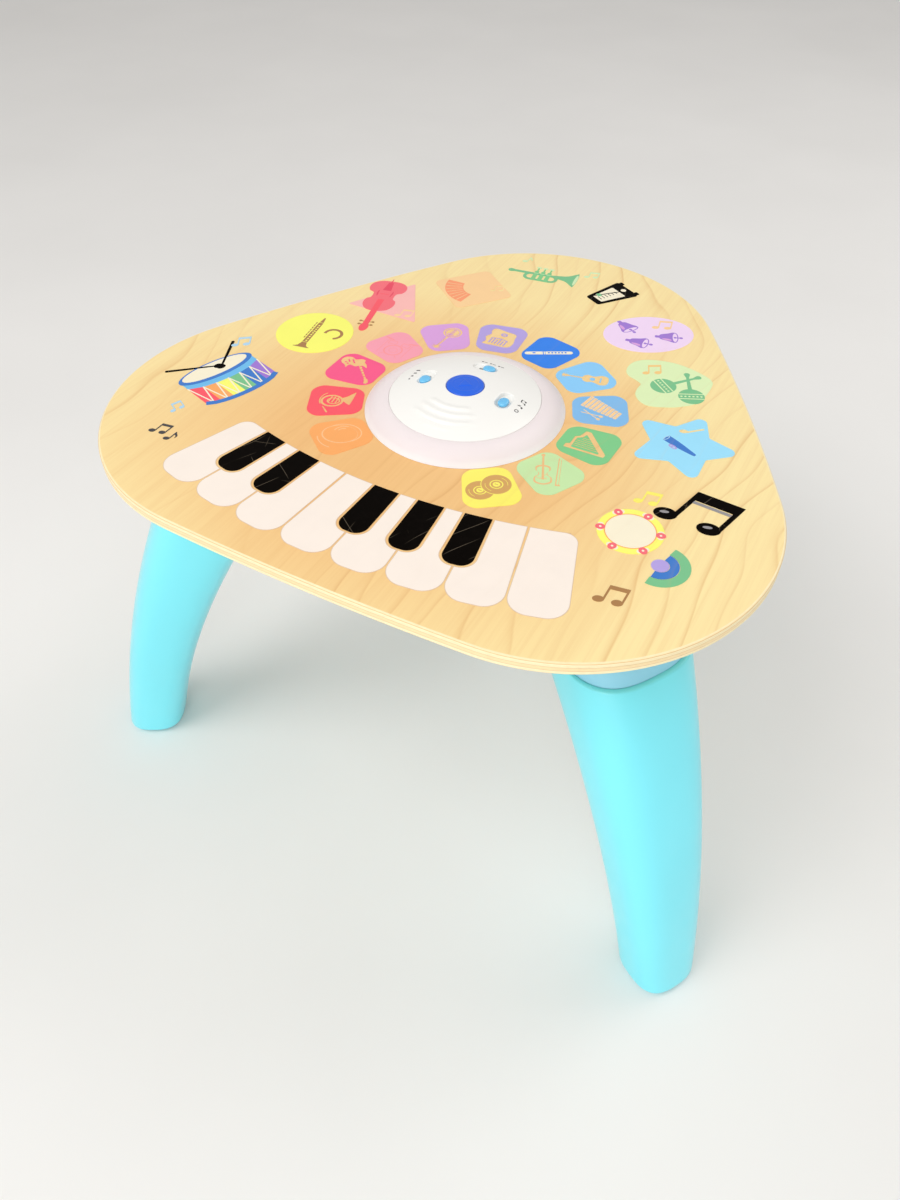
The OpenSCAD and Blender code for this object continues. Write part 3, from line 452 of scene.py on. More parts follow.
def board_material():
    """Circuit board: green mask over copper tracks that run along x and y."""
    look = Look("circuit_mask", Coat_Weight=0.4, Coat_Roughness=0.15)
    tracks = look.add(
        "TexBrick", Vector=look.mapped(look.place(), Scale=(160.0, 160.0, 160.0)),
        Scale=1.0, Mortar_Size=0.08, Bias=0.0, Brick_Width=1.7, Row_Height=0.6).outputs["Fac"]
    speck = look.noise(300.0)
    green = linear(38, 118, 66)
    under = look.mix(tracks, green, linear(70, 150, 88))
    look.colour(look.mix(look.remap(speck, 0.62, 0.66, 0.0, 0.5), under, shade(green, 0.6)))
    look.gloss(speck, 0.3, 0.7, 0.3, 0.45)
    look.bump(tracks, 0.2, 0.0001)
    return look.material


def frost_material():
    """Frosted diffuser of the light ring, with painted glow: whiter at its foot, darker and faintly pink
    above.
    """
    look = Look("frosted_diffuser", Subsurface_Weight=0.2, Subsurface_Scale=0.006, IOR=1.49,
                Subsurface_Radius=(1.0, 0.92, 1.0), Specular_IOR_Level=0.25)
    # Painted glow: the colour ramps from near white at the ring's foot to a darker pink tone higher up
    rise = look.remap(look.axis("Z"), top_z, top_z + 0.4 * seam_z * MM)
    glow_tint = look.mix(rise, linear(253, 250, 249), linear(241, 229, 229))
    look.colour(look.mix(look.remap(look.noise(30.0), 0.35, 0.7, 0.0, 0.4), glow_tint, linear(238, 226, 227)))
    look.gloss(look.noise(300.0, 1.0), 0.3, 0.7, 0.34, 0.42)
    return look.material


# Depths of the glue lines below the playing surface
ply_lines = (0.7, 3.25, 5.75, board_t - 0.7)

wood = wood_material()
plies = ply_material()
aqua = plastic_material("aqua_plastic", linear(126, 240, 254), 0.34, coat=0.4)
socket_blue = plastic_material("pale_blue_plastic", linear(150, 219, 245), 0.42)
cap_white = plastic_material("warm_white_plastic", linear(249, 247, 242), 0.34, coat=0.1)
housing_white = plastic_material("housing_plastic", linear(240, 240, 238), 0.45, texture=0.12)
button_blue = plastic_material("button_plastic", linear(20, 98, 228), 0.34, coat=0.15)
knob_blue = plastic_material("knob_plastic", linear(112, 198, 246), 0.19, depth=0.3, coat=0.4)
frost = frost_material()
steel = metal_material("plated_steel", linear(200, 200, 205), 0.36)
nickel = metal_material("nickel_plate", linear(214, 208, 196), 0.36, (500.0, 60.0, 500.0))
rubber = rubber_material("foot_rubber", linear(96, 104, 112))
circuit = board_material()

INKS = {
    "white": ink_material("white_keys", linear(252, 239, 227), veil=0.012),
    "black": black_ink_material(),
    "mark": ink_material("dark_marks", linear(62, 60, 62), veil=0.0),
}
INK_COLOURS = {
    # key_edge is a thin painted shade line along the keys' edges
    "key_edge": (226, 202, 178), "grey": (150, 146, 148), "cream": (252, 242, 214),
    "royal": (26, 128, 239), "sky": (138, 206, 252), "mid_blue": (128, 189, 238),
    "deep_blue": (48, 120, 205), "pale_blue": (178, 216, 240), "figure_blue": (108, 190, 240),
    "star_blue": (156, 226, 255), "green": (126, 206, 138), "leaf": (120, 196, 140),
    "light_green": (201, 234, 171), "mint": (226, 245, 188), "pale_green": (214, 240, 190),
    "yellow": (254, 243, 104), "lemon": (255, 254, 112), "violet": (182, 163, 229),
    "lilac": (222, 163, 225), "pale_lilac": (246, 219, 249), "purple": (160, 118, 214),
    "pink": (253, 162, 180), "blush": (255, 190, 184), "magenta": (253, 84, 138),
    "red": (254, 84, 100), "rose": (250, 108, 120), "dark_rose": (238, 62, 92),
    "soft_coral": (255, 150, 150), "orange": (254, 172, 96), "peach": (255, 212, 153),
    "coral": (255, 156, 108), "pale_orange": (255, 196, 140), "soft_orange": (240, 190, 130),
    "brown": (172, 124, 70), "honey": (250, 206, 128), "honey_brown": (214, 164, 92),
}
for ink_name, display_colour in INK_COLOURS.items():
    INKS[ink_name] = ink_material(ink_name, linear(*display_colour))

# ---- Board ----


def board_outline(inset, side_steps=26, corner_steps=56):
    """The board's outline moved in by an inset: a wide arc along each side, tangent to three corner arcs."""
    corner_d = corner_reach - corner_r
    side_drop = corner_d / 2 - side_reach
    side_r = (corner_r**2 - side_drop**2 - 0.75 * corner_d**2) / (2 * (side_drop + corner_r))
    side_half = math.degrees(math.atan(corner_d * math.cos(math.radians(30)) / (side_r + side_drop)))
    third = arc((0, side_r - side_reach), side_r - inset, -90 - side_half, -90 + side_half, side_steps)[:-1]
    third += arc(polar(corner_d, -30), corner_r - inset, -90 + side_half, 30 - side_half, corner_steps)[:-1]
    return [turned(p, 120 * k) for k in range(3) for p in third]


def edge_profile():
    """(inset, depth) down the board's edge, with a shallow groove at each glue line."""
    groove_deep = 0.05
    groove_half = 0.1
    profile = [(edge_r + 0.5, 0.0)] + quarter(edge_r, range(0, 91, 15))
    for depth in ply_lines[1:-1]:
        profile += [(0, depth - groove_half), (groove_deep, depth), (0, depth + groove_half)]
    profile += [(inset, board_t - drop) for inset, drop in quarter(edge_r, range(90, -1, -15))]
    return profile + [(edge_r + 0.5, board_t)]


def make_board():
    outline = board_outline(0)
    directions = [Vector(p).normalized() for p in outline]
    soft = 0.3

    def hole_ring(r, depth):
        return [at(d.x * r, d.y * r, -depth) for d in directions]

    rings = [hole_ring(hole_r, soft), hole_ring(hole_r + soft, 0), hole_ring(hole_r + 1, 0)]
    first_edge = len(rings)
    rings += [[at(x, y, -depth) for x, y in board_outline(inset)] for inset, depth in edge_profile()]
    last_edge = len(rings) - 1
    rings += [hole_ring(hole_r + 1, board_t), hole_ring(hole_r + soft, board_t)]
    rings += [hole_ring(hole_r, board_t - soft)]
    points, faces = skin([ring[::-1] for ring in rings], closed=True)
    edge_faces = range((first_edge + 1) * len(outline), (last_edge - 1) * len(outline))
    hole_faces = range((len(rings) - 1) * len(outline), len(rings) * len(outline))
    which = [int(i in edge_faces or i in hole_faces) for i in range(len(faces))]
    build("board", points, faces, [wood, plies], "table", ["tabletop"], "birch_board", which)


make_board()

# ---- Flat drawings and reliefs ----


def inside(loop, xs, ys):
    """Which points lie inside a closed loop."""
    ax, ay = np.array(loop).T
    bx, by = np.roll(ax, -1), np.roll(ay, -1)
    rise = by - ay
    rise[rise == 0] = 1e-12
    crosses = (ay[None] > ys[:, None]) != (by[None] > ys[:, None])
    reach = ax + (ys[:, None] - ay) * (bx - ax) / rise
    return (crosses & (xs[:, None] < reach)).sum(1) % 2 == 1


def cut_plane(loops, loose=()):
    """The plane's points and anticlockwise faces, cut along closed loops, and the faces' middles."""
    coords = [Vector(p) for p in loose]
    edges = []
    for loop in loops:
        start = len(coords)
        coords += [Vector(p) for p in loop]
        edges += [(start + i, start + (i + 1) % len(loop)) for i in range(len(loop))]
    verts, _, faces, _, _, _ = delaunay_2d_cdt(coords, edges, [], 0, 1e-3)
    upward = []
    for face in faces:
        a, b, c = (verts[i] for i in face[:3])
        upward.append(face if (b - a).cross(c - a) > 0 else face[::-1])
    xs, ys = np.array([np.mean([verts[i] for i in face], axis=0) for face in faces]).T
    return verts, upward, xs, ys


def shell(name, verts, faces, which, top, low, materials, **looks):
    """A closed piece over faces of a plane between two heights; which gives each face's material."""
    index = {}
    for face in faces:
        for i in face:
            index.setdefault(i, len(index))
    points = [at(*verts[i], height(*verts[i])) for height in (top, low) for i in index]
    count = len(index)
    out, sides = [], {}
    for face, material in zip(faces, which):
        ring = [index[i] for i in face]
        out += [ring, [i + count for i in reversed(ring)]]
        for i, j in zip(ring, ring[1:] + ring[:1]):
            if sides.pop((j, i), None) is None:
                sides[(i, j)] = material
    out += [(j, i, i + count, j + count) for i, j in sides]
    all_materials = [material for material in which for _ in range(2)] + list(sides.values())
    build(name, points, out, materials, face_materials=all_materials, **looks)


def print_sheet(name, layers, replaces=(), slot="shape_ink", surface=lambda x, y: 0.0, thick=ink_t):
    """One closed print of layers; a later one covers an earlier one, and the ink None lays the wood bare."""
    sunk = 0.02
    verts, faces, xs, ys = cut_plane([loop for loop, _ in layers])
    names = [None] + sorted({ink for _, ink in layers if ink})
    used = np.zeros(len(faces), int)
    for loop, ink in layers:
        used[inside(loop, xs, ys)] = names.index(ink)
    kept = [i for i in range(len(faces)) if used[i]]
    shell(name, verts, [faces[i] for i in kept], [int(used[i]) - 1 for i in kept],
          lambda x, y: surface(x, y) + thick, lambda x, y: surface(x, y) - sunk,
          [INKS[ink] for ink in names[1:]], body="table", replaces=replaces, slot=slot, crease=20)


def relief(name, loose, outer, holes, top, low, material, **looks):
    """A closed shell between two heights, within an outer loop and outside the loops of its holes."""
    verts, faces, xs, ys = cut_plane([outer] + holes, loose)
    keep = inside(outer, xs, ys)
    for loop in holes:
        keep &= ~inside(loop, xs, ys)
    kept = [face for face, wanted in zip(faces, keep) if wanted]
    shell(name, verts, kept, [0] * len(kept), top, low, [material], crease=50, **looks)


# Loops that the drawings are made from, and the drawings' layers of (loop, ink name)


def oval(x, y, a, b=None, turn=0, steps=36):
    b = a if b is None else b
    angles = (2 * math.pi * i / steps for i in range(steps))
    return placed([(a * math.cos(t), b * math.sin(t)) for t in angles], x, y, turn)


def bar(x0, y0, x1, y1, w0, w1=None):
    """A stroke with round ends from one point to another, w0 wide at its start and w1 at its end."""
    w1 = w0 if w1 is None else w1
    along = math.degrees(math.atan2(y1 - y0, x1 - x0))
    start = arc((x0, y0), w0 / 2, along + 90, along + 270, 8)
    return start + arc((x1, y1), w1 / 2, along - 90, along + 90, 8)


def slat(x0, y0, x1, y1, w0, w1=None):
    """Such a stroke with flat ends."""
    w1 = w0 if w1 is None else w1
    side_x, side_y = turned((0, 1), math.degrees(math.atan2(y1 - y0, x1 - x0)))
    ends = ((x0, y0, w0), (x0, y0, -w0), (x1, y1, -w1), (x1, y1, w1))
    return [(x + side_x * w / 2, y + side_y * w / 2) for x, y, w in ends]


def stroke(points, width):
    """A stroke of even width along a line of points."""
    left, right = [], []
    for i, p in enumerate(points):
        before = points[max(i - 1, 0)]
        after = points[min(i + 1, len(points) - 1)]
        d = Vector((after[0] - before[0], after[1] - before[1])).normalized()
        left.append((p[0] - d.y * width / 2, p[1] + d.x * width / 2))
        right.append((p[0] + d.y * width / 2, p[1] - d.x * width / 2))
    return left + right[::-1]


def bow(x, y, r, from_degrees, to_degrees, width):
    """A stroke along an arc."""
    steps = max(6, int(abs(to_degrees - from_degrees) / 8))
    return stroke(arc((x, y), r, from_degrees, to_degrees, steps), width)


def smooth(points, steps=6):
    """A closed smooth curve through its points."""
    out = []
    n = len(points)
    for i in range(n):
        a, b, c, d = (Vector(points[(i + k) % n]) for k in (-1, 0, 1, 2))
        for k in range(steps):
            t = k / steps
            curve = (3 * b - a - 3 * c + d) * t**3
            p = 0.5 * (2 * b + (c - a) * t + (2 * a - 5 * b + 4 * c - d) * t**2 + curve)
            out.append((p.x, p.y))
    return out


def rounded(points, r, steps=6):
    """A polygon whose corners, given anticlockwise, are rounded with arcs."""
    out = []
    n = len(points)
    for i, here in enumerate(points):
        here = Vector(here)
        u = (Vector(points[i - 1]) - here).normalized()
        v = (Vector(points[(i + 1) % n]) - here).normalized()
        half = u.angle(v) / 2
        centre = here + (u + v).normalized() * r / math.sin(half)
        middle = math.degrees(math.atan2(here.y - centre.y, here.x - centre.x))
        bend = 1 if u.x * v.y - u.y * v.x < 0 else -1
        swing = bend * (90 - math.degrees(half))
        out += arc(centre, r, middle - swing, middle + swing, steps)
    return out


def block(x, y, w, h, r=0.0, turn=0):
    """A rectangle about its middle, with rounded corners if r is given."""
    corners = [(-w / 2, -h / 2), (w / 2, -h / 2), (w / 2, h / 2), (-w / 2, h / 2)]
    return placed(rounded(corners, r) if r else corners, x, y, turn)


def moved(layers, x, y, turn=0, scale=1.0):
    return [(placed(loop, x, y, turn, scale), ink) for loop, ink in layers]


def painted(ink, *loops):
    return [(loop, ink) for loop in loops]


# ---- Keyboard ----

# Width of the painted shade line round the keys, and the angle it takes up at the keys' middle
key_shade_w = 0.4
key_shade_angle = math.degrees(key_shade_w / (fan_r + white_key_l / 2))


def fan_point(r, degrees):
    return (r * math.sin(math.radians(degrees)), fan_y - r * math.cos(math.radians(degrees)))


def fan_corner(r, degrees, radius, from_degrees, turn):
    """The arc of a rounded corner about a point of the fan."""
    return placed(arc((0, 0), radius, from_degrees, from_degrees + 90, 10), *fan_point(r, degrees), turn)


def fan_sector(a0, a1, r0, r1, end_round, start_round=(0, 0)):
    """A key of the fan, rounded at its outer end and, if asked, at its inner corners."""
    tip = math.degrees(end_round / r1)
    rise = r1 - end_round
    loop = []
    for a, sign, radius in ((a1, -1, start_round[1]), (a0, 1, start_round[0])):
        if radius:
            inner = math.degrees(radius / r0)
            loop += fan_corner(r0 + radius, a + sign * inner, radius, 0 if sign < 0 else 90, a)
        else:
            loop.append(fan_point(r0, a))
        if sign < 0:
            loop += [fan_point(r0, a0 + (a1 - a0) * t / 6) for t in (5, 4, 3, 2, 1)]
    loop += fan_corner(rise, a0 + tip, end_round, 180, a0)
    loop += fan_corner(rise, a1 - tip, end_round, 270, a1)
    return loop


def key(middle, half, r0, r1, end_round, ink, ends=(0, 0)):
    return (fan_sector(middle - half, middle + half, r0, r1, end_round, ends), ink)


def white_layers():
    """White keys with a painted shade line round each, the first and last rounded also at their free inner
    corner.
    """
    end_corner = 9
    tip = fan_r + white_key_l
    half = key_angle / 2 - math.degrees(key_gap / (2 * fan_r))
    layers = []
    for k in range(white_keys):
        middle = (k - white_keys / 2 + 0.5) * key_angle
        ends = (end_corner if k == 0 else 0, end_corner if k == white_keys - 1 else 0)
        inner_ends = [max(0, e - key_shade_w) for e in ends]
        layers.append(key(middle, half, fan_r, tip, white_key_round, "key_edge", ends))
        layers.append(key(middle, half - key_shade_angle, fan_r + key_shade_w, tip - key_shade_w,
                          white_key_round - key_shade_w, "white", inner_ends))
    return layers


def make_keyboard():
    """The white keys with room cut out for the black ones, and the black keys."""
    whites, blacks = white_layers(), []
    black_half = math.degrees(black_key_w / (2 * fan_r))
    border_half = math.degrees((black_key_w / 2 + black_key_border) / fan_r)
    border_tip = fan_r + black_key_l + black_key_border
    border_round = black_key_round + black_key_border
    cut_past = 2
    for place in black_key_places:
        middle = place * key_angle
        # A painted shade line round the room cut out for the black key
        whites.append(key(middle, border_half + key_shade_angle, fan_r, border_tip + key_shade_w,
                          border_round + key_shade_w, "key_edge"))
        whites.append(key(middle, border_half, fan_r - cut_past, border_tip, border_round, None))
        blacks.append(key(middle, black_half, fan_r, fan_r + black_key_l, black_key_round, "black"))
    print_sheet("white_keys", whites, ["white_key_prints"], "white_ink")
    print_sheet("black_keys", blacks, ["black_key_prints"], "black_ink")


make_keyboard()

# ---- Ring of touch pads ----


def pad_tile():
    """A pad about its own middle, with x pointing away from the console and softly bulging sides."""
    long_half, outer_half, inner_half, bulge = 18.6, 19.2, 15.0, 1.4
    corner = 8.5
    ends = [(-long_half, -inner_half), (long_half, -outer_half), (long_half, outer_half),
            (-long_half, inner_half)]

    def pushed(along, along_half, across, across_half, share):
        swell_out = bulge * math.copysign(1 - (across / across_half) ** 2, along)
        return along + swell_out * (abs(along) / along_half) ** 4 * share

    return [(pushed(x, long_half, y, outer_half, 0.5), pushed(y, outer_half, x, long_half, 0.6))
            for x, y in rounded(ends, corner, 8)]


def note_icon(ink):
    """Two joined quavers."""
    beam = [(-1.37, 2.0), (3.97, 2.8), (3.97, 4.2), (-1.37, 3.4)]
    return painted(ink, oval(-2.3, -2.6, 1.5, 1.1, 20), oval(2.5, -1.8, 1.5, 1.1, 20),
                   slat(-1.1, -2.4, -1.1, 3.0, 0.55), slat(3.7, -1.6, 3.7, 3.8, 0.55), beam)


def quaver_icon(ink):
    """One quaver."""
    flag = smooth([(0.2, 3.5), (1.4, 2.4), (2.5, 1.2), (2.3, -0.6), (1.9, 0.8), (0.7, 1.7)])
    return painted(ink, oval(-0.8, -2.4, 1.5, 1.1, 20), slat(0.45, -2.2, 0.45, 3.4, 0.55), flag)


def flute_icon(pad):
    """Long tube with a joint and a row of keys."""
    joint = (slat(-4.6, -2.2, -4.6, 2.2, 0.7), slat(-3.2, -2.2, -3.2, 2.2, 0.4))
    keys = [oval(-0.4 + 2.5 * k, 0.2, 0.85, 0.95, steps=16) for k in range(6)]
    tube = painted("cream", bar(-16.5, 0, 15.5, 0, 4.0))
    return moved(tube + painted(pad, *joint, oval(-11.5, 0.3, 1.3, 0.8), *keys), 0, 0, 29)


def guitar_icon(pad):
    """Waisted body, round hole, bridge and a neck with pegs."""
    body = smooth([
        (17, 0), (15.8, 5.0), (11.5, 6.4), (7.6, 4.6), (4.8, 3.9), (1.6, 4.9), (-1.4, 3.2), (-2.2, 0),
        (-1.4, -3.2), (1.6, -4.9), (4.8, -3.9), (7.6, -4.6), (11.5, -6.4), (15.8, -5.0)])
    head = [(-17.0, -1.9), (-12.2, -1.3), (-12.2, 1.3), (-17.0, 1.9)]
    pegs = [oval(-15.9 + 1.6 * k, s * 2.4, 0.5, steps=10) for k in range(2) for s in (-1, 1)]
    frets = [slat(-10.6 + 2.2 * k, -0.7, -10.6 + 2.2 * k, 0.7, 0.25) for k in range(4)]
    layers = painted(None, body) + painted(pad, oval(5.2, 0, 1.9), bar(11.2, -2.6, 11.2, 2.6, 0.9))
    layers += painted(None, slat(-12.5, 0, -1.8, 0, 1.7, 2.0), head, *pegs) + painted(pad, *frets)
    return moved(layers, 0, 0, 12)


def xylophone_icon(pad):
    """Nine bars that get shorter, with two mallets below."""
    layers = []
    for k in range(9):
        x, y, half = -12.8 + 3.2 * k, 3.4 - 0.3 * k, 7.2 - 0.35 * k
        layers += painted("peach", block(x, y, 2.6, 2 * half, 0.5))
        layers += painted(pad, *[oval(x, y + s * (half - 1.9), 0.4, steps=8) for s in (-1, 1)])
    for s in (-1, 1):
        layers += painted("peach", bar(-9, -8.6 - 1.7 * s, 3.2, -8.6 + 1.7 * s, 0.7),
                          oval(4.6, -8.6 + 1.9 * s, 1.5, 1.2, steps=16))
    return moved(layers, 0, 0.6, -10)


def harp_icon(pad):
    """Harp in outline, with level strings."""
    outer = [(-14, -9.6), (14.2, -9.0), (14.4, -5.6), (-3.2, 13.4), (-6.8, 13.4), (-8.6, 6.6), (-11.4, 4.6),
             (-11.4, -4.0), (-14, -5.6)]
    inner = [(-9.4, -7.4), (10.6, -7.0), (-4.9, 9.6), (-6.2, 5.6), (-9.4, 3.4)]
    layers = [(rounded(outer, 0.8, 3), None), (rounded(inner, 0.6, 3), pad)]
    for k in range(6):
        y = 5.2 - 2.0 * k
        layers += painted(None, slat(-9.0 if y < 3 else -6.0, y, 10.4 - (y + 7.0) * 0.93, y, 0.75))
    return layers


def violin_icon(ink, line):
    """Outline of a small fiddle and its bow."""
    body = smooth([
        (0, 9.5), (3.6, 8.2), (3.9, 5.0), (2.5, 3.0), (2.6, 1.0), (4.6, -1.4), (4.4, -5.4), (0, -7.2),
        (-4.4, -5.4), (-4.6, -1.4), (-2.6, 1.0), (-2.5, 3.0), (-3.9, 5.0), (-3.6, 8.2)])
    inner = [(x * 0.82, 0.4 + (y - 0.4) * 0.86) for x, y in body]
    sound_holes = [bow(s * 1.9, -0.4, 1.5, 110 - 50 * s, 250 - 50 * s, 0.35) for s in (-1, 1)]
    layers = [(body, line), (inner, ink)]
    layers += painted(
        line, slat(0, -3, 0, 17.5, 1.3, 1.0), *sound_holes, bar(-1.8, -2.0, 1.8, -2.0, 0.5), oval(0, 18, 1.1),
        bar(8.6, 15.5, 6.6, -7.5, 0.6), bar(9.8, 14.6, 8.2, -7.0, 0.3), block(7.6, -7.2, 2.6, 1.2, 0.3, -6))
    return moved(layers, -2.0, -5.0, 24, 1.22)


def cymbals_icon(pad):
    """Two overlapping discs, each with a bell and a strap."""
    layers = []
    for x, y, r in ((-3.8, -5.6, 9.2), (2.6, 4.6, 9.6)):
        rings = (r + 0.5, r, r * 0.46, r * 0.38, r * 0.25)
        layers += [(oval(x, y, ring), ink) for ring, ink in zip(rings, (pad, "honey_brown") * 3)]
        layers += painted("honey_brown", bar(x - 1.0, y, x + 1.0, y, 0.6))
        layers += painted(pad, *[bow(x, y, r * 0.75, a, a + 70, 0.3) for a in (20, 200)])
    return layers


def accordion_icon(pad):
    """Small squeeze box: straight case, scalloped bellows and keys."""
    case = smooth([
        (-9.5, 12.5), (0, 11.8), (8.2, 10.6), (10.2, 4.0), (11.8, -3.0), (9.8, -9.2), (0, -11.0),
        (-9.6, -11.8), (-9.2, -6.6), (-11.6, -1.8), (-9.6, 3.6), (-11.2, 8.0)])
    layers = [(case, None), (oval(0.2, 6.4, 2.7, 2.1), pad), (oval(0.2, 6.4, 1.5, 1.0), None)]
    keys = [block(-6.0 + 2.4 * k, -5.4 + 0.9 * (k % 2), 0.85, 6.4 + 1.6 * (k % 2), 0.4) for k in range(6)]
    return layers + painted(pad, *keys, bow(0, -14.5, 14.5, 62, 118, 0.6))


def banjo_icon(pad):
    """Round skin, bridge, long neck and pegs."""
    layers = [(oval(0, 8.4, 7.4), None), (oval(0, 8.4, 6.0), pad), (oval(0, 8.4, 5.4), None)]
    layers += painted(pad, bar(-2.2, 5.4, 2.2, 5.4, 0.8))
    pegs = [oval(s * 2.7, -14.0 - 2.0 * k, 0.7, steps=10) for s in (-1, 1) for k in range(2)]
    layers += painted(None, slat(0, 2.2, 0, -12.6, 2.0, 1.7), block(0, -15.0, 3.6, 4.6, 1.0), *pegs)
    layers += painted(pad, *[slat(x, 1.2, x, 13.0, 0.25) for x in (-0.9, 0, 0.9)])
    layers += painted(pad, *[slat(-0.7, -2.5 - 2.6 * k, 0.7, -2.5 - 2.6 * k, 0.3) for k in range(4)])
    return moved(layers, 0.6, -0.4, -3)


def drums_icon(pad, line):
    """Small drum kit in outline."""
    layers = [(oval(0, -4, r), ink) for r, ink in ((7.4, line), (6.4, pad), (3.4, line), (3.0, pad))]
    for x in (-5.6, 5.6):
        layers += [(block(x, 5.6, 7.0, 4.8, 0.8, -x), line), (block(x, 5.6, 6.0, 3.8, 0.6, -x), pad)]
    for s in (-1, 1):
        layers += painted(line, bar(s * 10.5, -11, s * 10.5, 9.5, 0.45),
                          oval(s * 10.5, 9.8, 4.6, 0.7, s * 12), bar(s * 5, -10.5, s * 7.5, -13, 0.5))
    return layers


def electric_guitar_icon(pad):
    """Two-horned body with two pickups and two knobs, a long fretted neck and a head."""
    body = smooth([
        (-17.5, 7.0), (-16.4, 11.6), (-12.0, 13.6), (-8.0, 12.0), (-4.6, 14.4), (-1.2, 14.4), (0.2, 11.4),
        (3.0, 9.2), (5.2, 5.6), (2.2, 6.6), (-0.8, 6.4), (-3.0, 3.6), (-6.0, 3.8), (-8.6, 3.2), (-9.2, -0.6),
        (-11.6, 2.0), (-15.0, 3.4)])
    head = smooth([(11.2, -7.6), (13.4, -6.4), (16.2, -10.0), (15.4, -12.6), (13.6, -12.0), (12.6, -9.6)])
    frets = [slat(-0.4 + 2.4 * k, 4.6 - 2.45 * k, 0.8 + 2.4 * k, 5.8 - 2.45 * k, 0.3) for k in range(5)]
    return painted(None, body, slat(-1.6, 7.0, 12.4, -7.4, 2.0, 1.6), head) + painted(
        pad, bar(-9.6, 10.6, -6.4, 7.4, 1.0), bar(-12.6, 9.4, -10.6, 7.4, 1.0),
        oval(-12.8, 5.6, 0.7, steps=10), oval(-10.6, 4.6, 0.7, steps=10), *frets)


def horn_icon(pad):
    """Wide bell, coiled tube with three valves and a thin mouth pipe."""
    bell = smooth([(1.0, 3.4), (4.0, 8.0), (6.0, 13.6), (7.4, 14.6), (10.8, 1.4), (9.8, 0.0), (5.0, 1.6)])
    layers = [(bell, None), (oval(-2.6, -1.4, 8.2, 7.4, 20), None), (oval(-2.6, -1.4, 6.4, 5.6, 20), pad)]
    layers += [(oval(-1.6, -1.0, 4.9, 4.1, 20), None), (oval(-1.6, -1.0, 3.7, 2.9, 20), pad)]
    valves = [bar(-5.4 + 2.5 * k, 3.2 + 0.5 * k, -4.2 + 2.5 * k, -3.4 + 0.5 * k, 1.1) for k in range(3)]
    pipe = (bow(-1.2, 0, 10.6, 150, 232, 1.0), bar(-4.4, -10.2, 1.6, -14.6, 0.9, 1.5))
    return layers + painted(None, *pipe, *valves)


def hand_drum_icon(pad, line):
    """Hand drum in outline, seen from above, with bows on its skin and beside it."""
    layers = [(oval(0, 2.5, 12.6, 10.4, 18), line), (oval(0, 2.5, 11.8, 9.6, 18), pad)]
    layers += [(oval(-1.6, 0.2, 12.4, 10.0, 18), line), (oval(-1.4, 0.6, 11.8, 9.4, 18), pad)]
    return layers + painted(line, bow(0.5, 2.5, 7.8, 100, 180, 0.8), bow(0.5, 2.5, 5.4, 110, 170, 0.8),
                            bow(-1, 0, 15.4, 215, 275, 0.8))


RING_PADS = [
    (0, "yellow", "cymbals", cymbals_icon("yellow")),
    (1, "light_green", "fiddle", violin_icon("light_green", "soft_orange")),
    (2, "green", "harp", harp_icon("green")),
    (3, "mid_blue", "xylophone", xylophone_icon("mid_blue")),
    (4, "sky", "guitar", guitar_icon("sky")),
    (5, "royal", "flute", flute_icon("royal")),
    (6, "violet", "squeeze_box", accordion_icon("violet")),
    (7, "lilac", "banjo", banjo_icon("lilac")),
    (8, "pink", "drum_kit", drums_icon("pink", "soft_coral")),
    (9, "magenta", "electric_guitar", electric_guitar_icon("magenta")),
    (10, "red", "horn", horn_icon("red")),
    (11, "orange", "hand_drum", hand_drum_icon("orange", "pale_orange")),
]


def make_ring_pads():
    tile = pad_tile()
    for k, ink, name, icon in RING_PADS:
        angle = pad_row_angle + (k - (ring_pads - 1) / 2) * pad_angle
        x, y = polar(pad_ring_r, angle)
        y += pad_ring_y
        layers = moved([(tile, ink)], x, y, angle) + moved(icon, x, y)
        print_sheet("pad_" + name, layers, ["ring_pad_prints"], "pad_ink")


make_ring_pads()

# ---- Outer touch pads ----


def clarinet_icon(ink, gap):
    half = [(6.0, -22.6), (3.4, -20.6), (2.3, -17), (2.2, -15)]
    bell = [(-6.0, -22.6)] + half + [(-x, y) for x, y in half[:0:-1]]
    keys = [bar(-3.4, -9.5 + 3.6 * k, -3.4, -7.6 + 3.6 * k, 1.0) for k in range(7)]
    holes = [oval(0.2, -13 + 2.9 * k, 0.7, 0.9, steps=12) for k in range(9)]
    joints = [slat(-2.2, y, 2.2, y, 0.5) for y in (-15.4, 1.2, 14.6)]
    return painted(ink, bell, bar(-6, -22.6, 6, -22.6, 1.0), slat(0, -15.6, 0, 15, 4.4, 3.6),
                   bar(0, 14.6, 0, 21.5, 3.2, 1.4), *keys) + painted(gap, *holes, *joints)


def mirrored(half):
    """A closed smooth outline from its right half, listed from the top down."""
    return smooth(half + [(-x, y) for x, y in half[-2:0:-1]])


